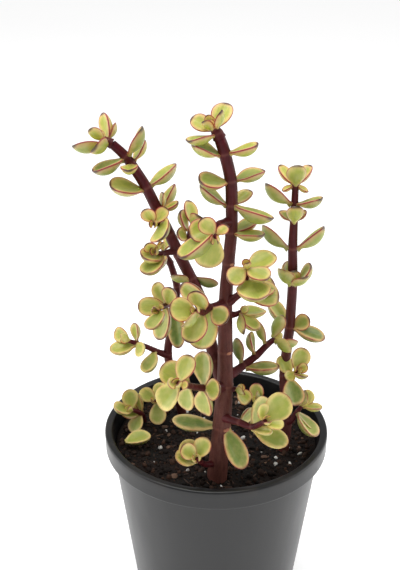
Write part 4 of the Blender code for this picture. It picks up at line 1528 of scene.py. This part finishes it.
@dataclass
class Soil:
    """The soil: an uneven body with crumbs, fibres, chips and perlite strewn over it."""

    material: bpy.types.Material
    radius: float  # inside the wall at the surface
    base_radius: float
    top: float
    bottom: float
    mound: float = 0.9  # how much the top rises and falls
    hollow: float = 0.4  # how far the top lies under its full height
    edge_start: float = 0.93  # where the top levels out, as a share of the radius
    edge_width: float = 0.07
    edge_dip: float = 1.2  # how far it sinks at the wall
    grain_depth: float = 4.0  # grains lie on what is no deeper than this
    side_rings: tuple[float, ...] = (0.3, 0.65, 1.0)  # down the side
    waves: int = 26
    rings: int = 60
    steps: int = 160

    def surface(self) -> tuple[np.ndarray, np.ndarray, np.ndarray]:
        """The uneven top's points, in millimetres, from the middle outwards.

        Returns:
            Their x, y and z.
        """
        luck = np.random.default_rng(3)
        waves = [(luck.uniform(0.05, 0.55), luck.uniform(0, 2 * np.pi), luck.uniform(0, 6))
                 for _ in range(self.waves)]
        radii = np.repeat(self.radius * (np.arange(1, self.rings + 1) / self.rings), self.steps)
        turns = np.tile(2 * np.pi * np.arange(self.steps) / self.steps, self.rings)
        x = np.concatenate(([0.0], radii * np.cos(turns)))
        y = np.concatenate(([0.0], radii * np.sin(turns)))
        rise = np.zeros(len(x))
        for rate, way, start in waves:
            rise += np.sin((x * math.cos(way) + y * math.sin(way)) * rate + start) / (1 + 5 * rate)
        rise *= self.mound / 1.6
        past = np.hypot(x, y) - self.radius * self.edge_start
        edge = np.clip(past / (self.radius * self.edge_width), 0, 1)
        return x, y, self.top - self.hollow + rise * (1 - edge) - edge ** 2 * self.edge_dip

    def body(self) -> bpy.types.Mesh:
        """The closed body under the grains.

        Returns:
            Its mesh.
        """
        top = np.stack(self.surface(), axis=1)
        sides = [ring_points(self.radius + (self.base_radius - self.radius) * share,
                             self.top + (self.bottom - self.top) * share, self.steps)
                 for share in self.side_rings]
        points = np.concatenate([top, *sides, [(0.0, 0.0, self.bottom)]]) * MM
        faces = [tuple(reversed(face)) for face in closed_rows(self.rings + len(sides), self.steps)]
        draft = Draft()
        draft.add(points, faces, tone=np.full(len(points), 0.3))
        return draft.mesh("soil_body", self.material)

    def strew(self, grains: Grains, material: bpy.types.Material) -> bpy.types.Mesh:
        """Strew grains of one sort over the soil with nodes.

        Args:
            grains: their sizes and number.
            material: their finish.

        Returns:
            All of them as one mesh.
        """
        source = link_object(grains.name + "_bed", self.body())
        tree = Modelling(
            grains.name, Density=("Float", grains.density * SQUARE_CM),
            Smallest=("Float", grains.smallest * MM), Largest=("Float", grains.largest * MM),
            Reach=("Float", (self.radius - grains.edge_gap) * MM), Seed=("Int", grains.seed),
            Finish=("Material", material),
        )
        place = tree.position()
        flat = tree.scaled(place, (1.0, 1.0, 0.0))
        out = tree.node("ShaderNodeVectorMath", {"operation": "LENGTH"}, {0: flat}, "Value")
        level = tree.node("ShaderNodeSeparateXYZ", {}, {0: place}, "Z")
        chosen = (tree.given("Reach") - out > 0.0) * (level > (self.top - self.grain_depth) * MM)
        spots = tree.node("GeometryNodeDistributePointsOnFaces", {}, {
            "Mesh": tree.given("Geometry"), "Selection": chosen, "Density": tree.given("Density"),
            "Seed": tree.given("Seed"),
        })
        facets = {"Segments": grains.segments, "Rings": grains.rings}
        ball = tree.node("GeometryNodeMeshUVSphere", {}, facets)
        lumps = (tree.noise(tree.position(), 1.3, 3.0) - 0.5) * grains.roughness * 2
        ball = tree.swollen(ball, lumps)
        ball = tree.node("GeometryNodeTransform", {}, {"Geometry": ball, "Scale": grains.form.value})
        tilt = math.pi if grains.form is GrainForm.CRUMB else 0.35
        seed, smallest = tree.given("Seed"), tree.given("Smallest")
        turn = tree.chance((-tilt, -tilt, 0.0), (tilt, tilt, math.tau), seed + 1)
        luck = tree.chance(0.0, 1.0, seed + 2)
        size = smallest + (tree.given("Largest") - smallest) * luck * luck
        stretch = tree.chance((0.75, 0.75, 0.75), (1.25, 1.25, 1.25), seed + 3)
        return tree.run(tree.copies(spots, ball, turn, tree.times(stretch, size), seed + 4), source)

    def build(self, sorts: Sequence[tuple[Grains, bpy.types.Material]]) -> None:
        """Install the body and each sort of grain.

        Args:
            sorts: the grains, each with its finish.
        """
        install("soil_body", self.body(), Slot.SOIL, "soil")
        for grains, material in sorts:
            install(grains.name, self.strew(grains, material), Slot.SOIL)


# ---- Studio ----


@dataclass
class Studio:
    """A pale floor, soft lights and the camera."""

    camera_place: tuple[float, float, float] = (-7.4, -375.7, 335.7)
    camera_pitch: float = 25.2  # below the horizon, in degrees
    lens: float = 61.07
    sensor: float = 36.0
    floor_size: float = 8.0
    sky_strength: float = 0.42
    lamp_size: float = 0.7
    lamp_aim: tuple[float, float, float] = (0.0, 0.0, 0.12)
    lamps: tuple[tuple[str, tuple[float, float, float], float], ...] = (
        ("top_light", (-0.10, -0.05, 1.0), 5.5),
        ("left_light", (-0.80, 0.10, 0.40), 2.6),
        ("right_light", (0.80, 0.15, 0.40), 2.6),
    )  # name, place and watts

    def floor(self) -> None:
        """Lay a plain pale floor under the pot."""
        shader = Shader("studio_floor")
        mottle = shader.noise(shader.place(), 3.0, 2.0)
        colour = shader.mix(mottle, (0.86, 0.86, 0.86), (0.90, 0.90, 0.90))
        half = self.floor_size / 2
        mesh = bpy.data.meshes.new("studio_floor")
        mesh.from_pydata([(-half, -half, 0), (half, -half, 0), (half, half, 0), (-half, half, 0)], [],
                         [(0, 1, 2, 3)])
        mesh.materials.append(shader.dress(
            Base_Color=colour, Roughness=0.7, Emission_Color=(1.0, 1.0, 1.0), Emission_Strength=0.55,
        ))
        link_object("studio_floor", mesh)

    def light(self, name: str, place: tuple[float, float, float], watts: float) -> None:
        """Hang one square soft light, aimed at the plant.

        Args:
            name: the light's name.
            place: where it hangs, in metres.
            watts: how strong it is.
        """
        lamp = bpy.data.lights.new(name, "AREA")
        lamp.size = self.lamp_size
        lamp.energy = watts
        holder = link_object(name, lamp)
        holder.location = place
        way = Vector(self.lamp_aim) - Vector(place)
        holder.rotation_euler = way.to_track_quat("-Z", "Y").to_euler()

    def sky(self) -> None:
        """Fill the room with even white light."""
        world = bpy.data.worlds.new("studio_sky")
        world.use_nodes = True
        backdrop = world.node_tree.nodes["Background"]
        backdrop.inputs["Color"].default_value = (1.0, 1.0, 1.0, 1.0)
        backdrop.inputs["Strength"].default_value = self.sky_strength
        bpy.context.scene.world = world

    def camera(self) -> None:
        """Set up the camera."""
        lens = bpy.data.cameras.new("studio_camera")
        lens.lens = self.lens
        lens.sensor_width = self.sensor
        lens.clip_start = 0.01
        holder = link_object("studio_camera", lens)
        holder.location = [value * MM for value in self.camera_place]
        holder.rotation_euler = (math.radians(90.0 - self.camera_pitch), 0.0, 0.0)
        bpy.context.scene.camera = holder

    def build(self) -> None:
        """Set everything up."""
        self.camera()
        self.floor()
        self.sky()
        for name, place, watts in self.lamps:
            self.light(name, place, watts)
        bpy.context.scene.view_settings.view_transform = "Standard"


# ---- Assembly ----


@dataclass
class ElephantBush:
    """The whole plant in its pot."""

    ground: Ground = field(default_factory=Ground.from_pot)
    soil_gap: float = 0.35  # between the soil and the wall
    floor_gap: float = 0.3
    scarred_nodes: int = 5  # on the old wood
    fork_at: float = 3.0  # the point of the parent's route whose radius a fork's collar is fitted to
    twig_at: float = 4.0
    whorl_seed: int = 1000
    shoot_seed: int = 5000
    seed_step: int = 100
    bark_seed: float = 3.0
    twig_seed: float = 20.0

    def pot_and_soil(self) -> None:
        """Build the pot and fill it."""
        low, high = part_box("pot")
        pot = Pot(PlasticFinish().material(high.z), (high.x - low.x) / 2 / MM, high.z / MM)
        pot.build()
        top = self.ground.height / MM
        bottom = pot.floor + self.floor_gap
        soil_finish = SoilFinish().material()
        soil = Soil(soil_finish, pot.wall_radius(top) - pot.wall - self.soil_gap,
                    pot.wall_radius(bottom) - pot.wall - self.soil_gap, top, bottom)
        chips = ChipFinish().material()
        perlite = PerliteFinish().material()
        soil.build((
            (Grains("soil_crumbs", GrainForm.CRUMB, 0.5, 1.9, 19.0, 11), soil_finish),
            (Grains("soil_fines", GrainForm.CRUMB, 0.22, 0.6, 62.0, 23, segments=5, rings=4, edge_gap=1.0),
             soil_finish),
            (Grains("soil_fibres", GrainForm.FIBRE, 1.2, 3.8, 2.6, 37, segments=6, rings=7, edge_gap=5.0),
             chips),
            (Grains("bark_chips", GrainForm.FLAKE, 1.0, 2.8, 1.0, 41, segments=9, rings=6, edge_gap=4.5),
             chips),
            (Grains("perlite_grains", GrainForm.CRUMB, 0.45, 1.5, 0.55, 58, segments=14, rings=10,
                    roughness=0.8, edge_gap=4.0), perlite),
        ))

    def stem_nodes(self, stem: Stem) -> list[float]:
        """Where a woody stem's nodes are: at its whorls, and at its route's other points.

        Args:
            stem: the stem.

        Returns:
            Their indices in its route, from the foot up.
        """
        whorls = [grown[0].at for owner, _, grown in WHORLS if owner == stem.name]
        others = [at for at in range(1, len(stem.route) - 1) if all(abs(at - w) > 0.5 for w in whorls)]
        return sorted(whorls + [float(at) for at in others if stem.route[at][2] > 1])

    def plant(self) -> None:
        """Grow the stems and their leaves."""
        waxy = LeafFinish().material()
        wood = Wood(self.ground, StemFinish().material(), ScarFinish().material())
        foliage = Foliage(self.ground, waxy)
        stems = {stem.name: stem for stem in WOODY_STEMS}
        for number, stem in enumerate(WOODY_STEMS):
            parent = stems[stem.parent].radius(self.fork_at) if stem.parent in stems else 0.0
            wood.build(stem, self.stem_nodes(stem), WOOD_AGES[stem.name], self.bark_seed + number, parent)
        oldest = stems["main_stem"]
        wood.scars(oldest, self.stem_nodes(oldest)[: self.scarred_nodes])
        for number, (owner, name, grown) in enumerate(WHORLS):
            foliage.build(name, stems[owner], grown, self.whorl_seed + self.seed_step * number)
        for number, (stem, grown) in enumerate(SHOOTS):
            parent = stems[stem.parent].radius(self.twig_at) if stem.parent in stems else 0.0
            nodes = sorted({leaf.at for leaf in grown})
            wood.build(stem, nodes, TWIG_AGES, self.twig_seed + number, parent)
            foliage.build(stem.name, stem, grown, self.shoot_seed + self.seed_step * number)
        FallenLeaf(self.ground, waxy).build()


def main() -> None:
    """Build the studio, the pot and the plant."""
    logging.basicConfig(level=logging.INFO, format="%(message)s", stream=sys.stdout)
    Studio().build()
    bush = ElephantBush()
    bush.pot_and_soil()
    bush.plant()


if __name__ == "__main__":
    main()
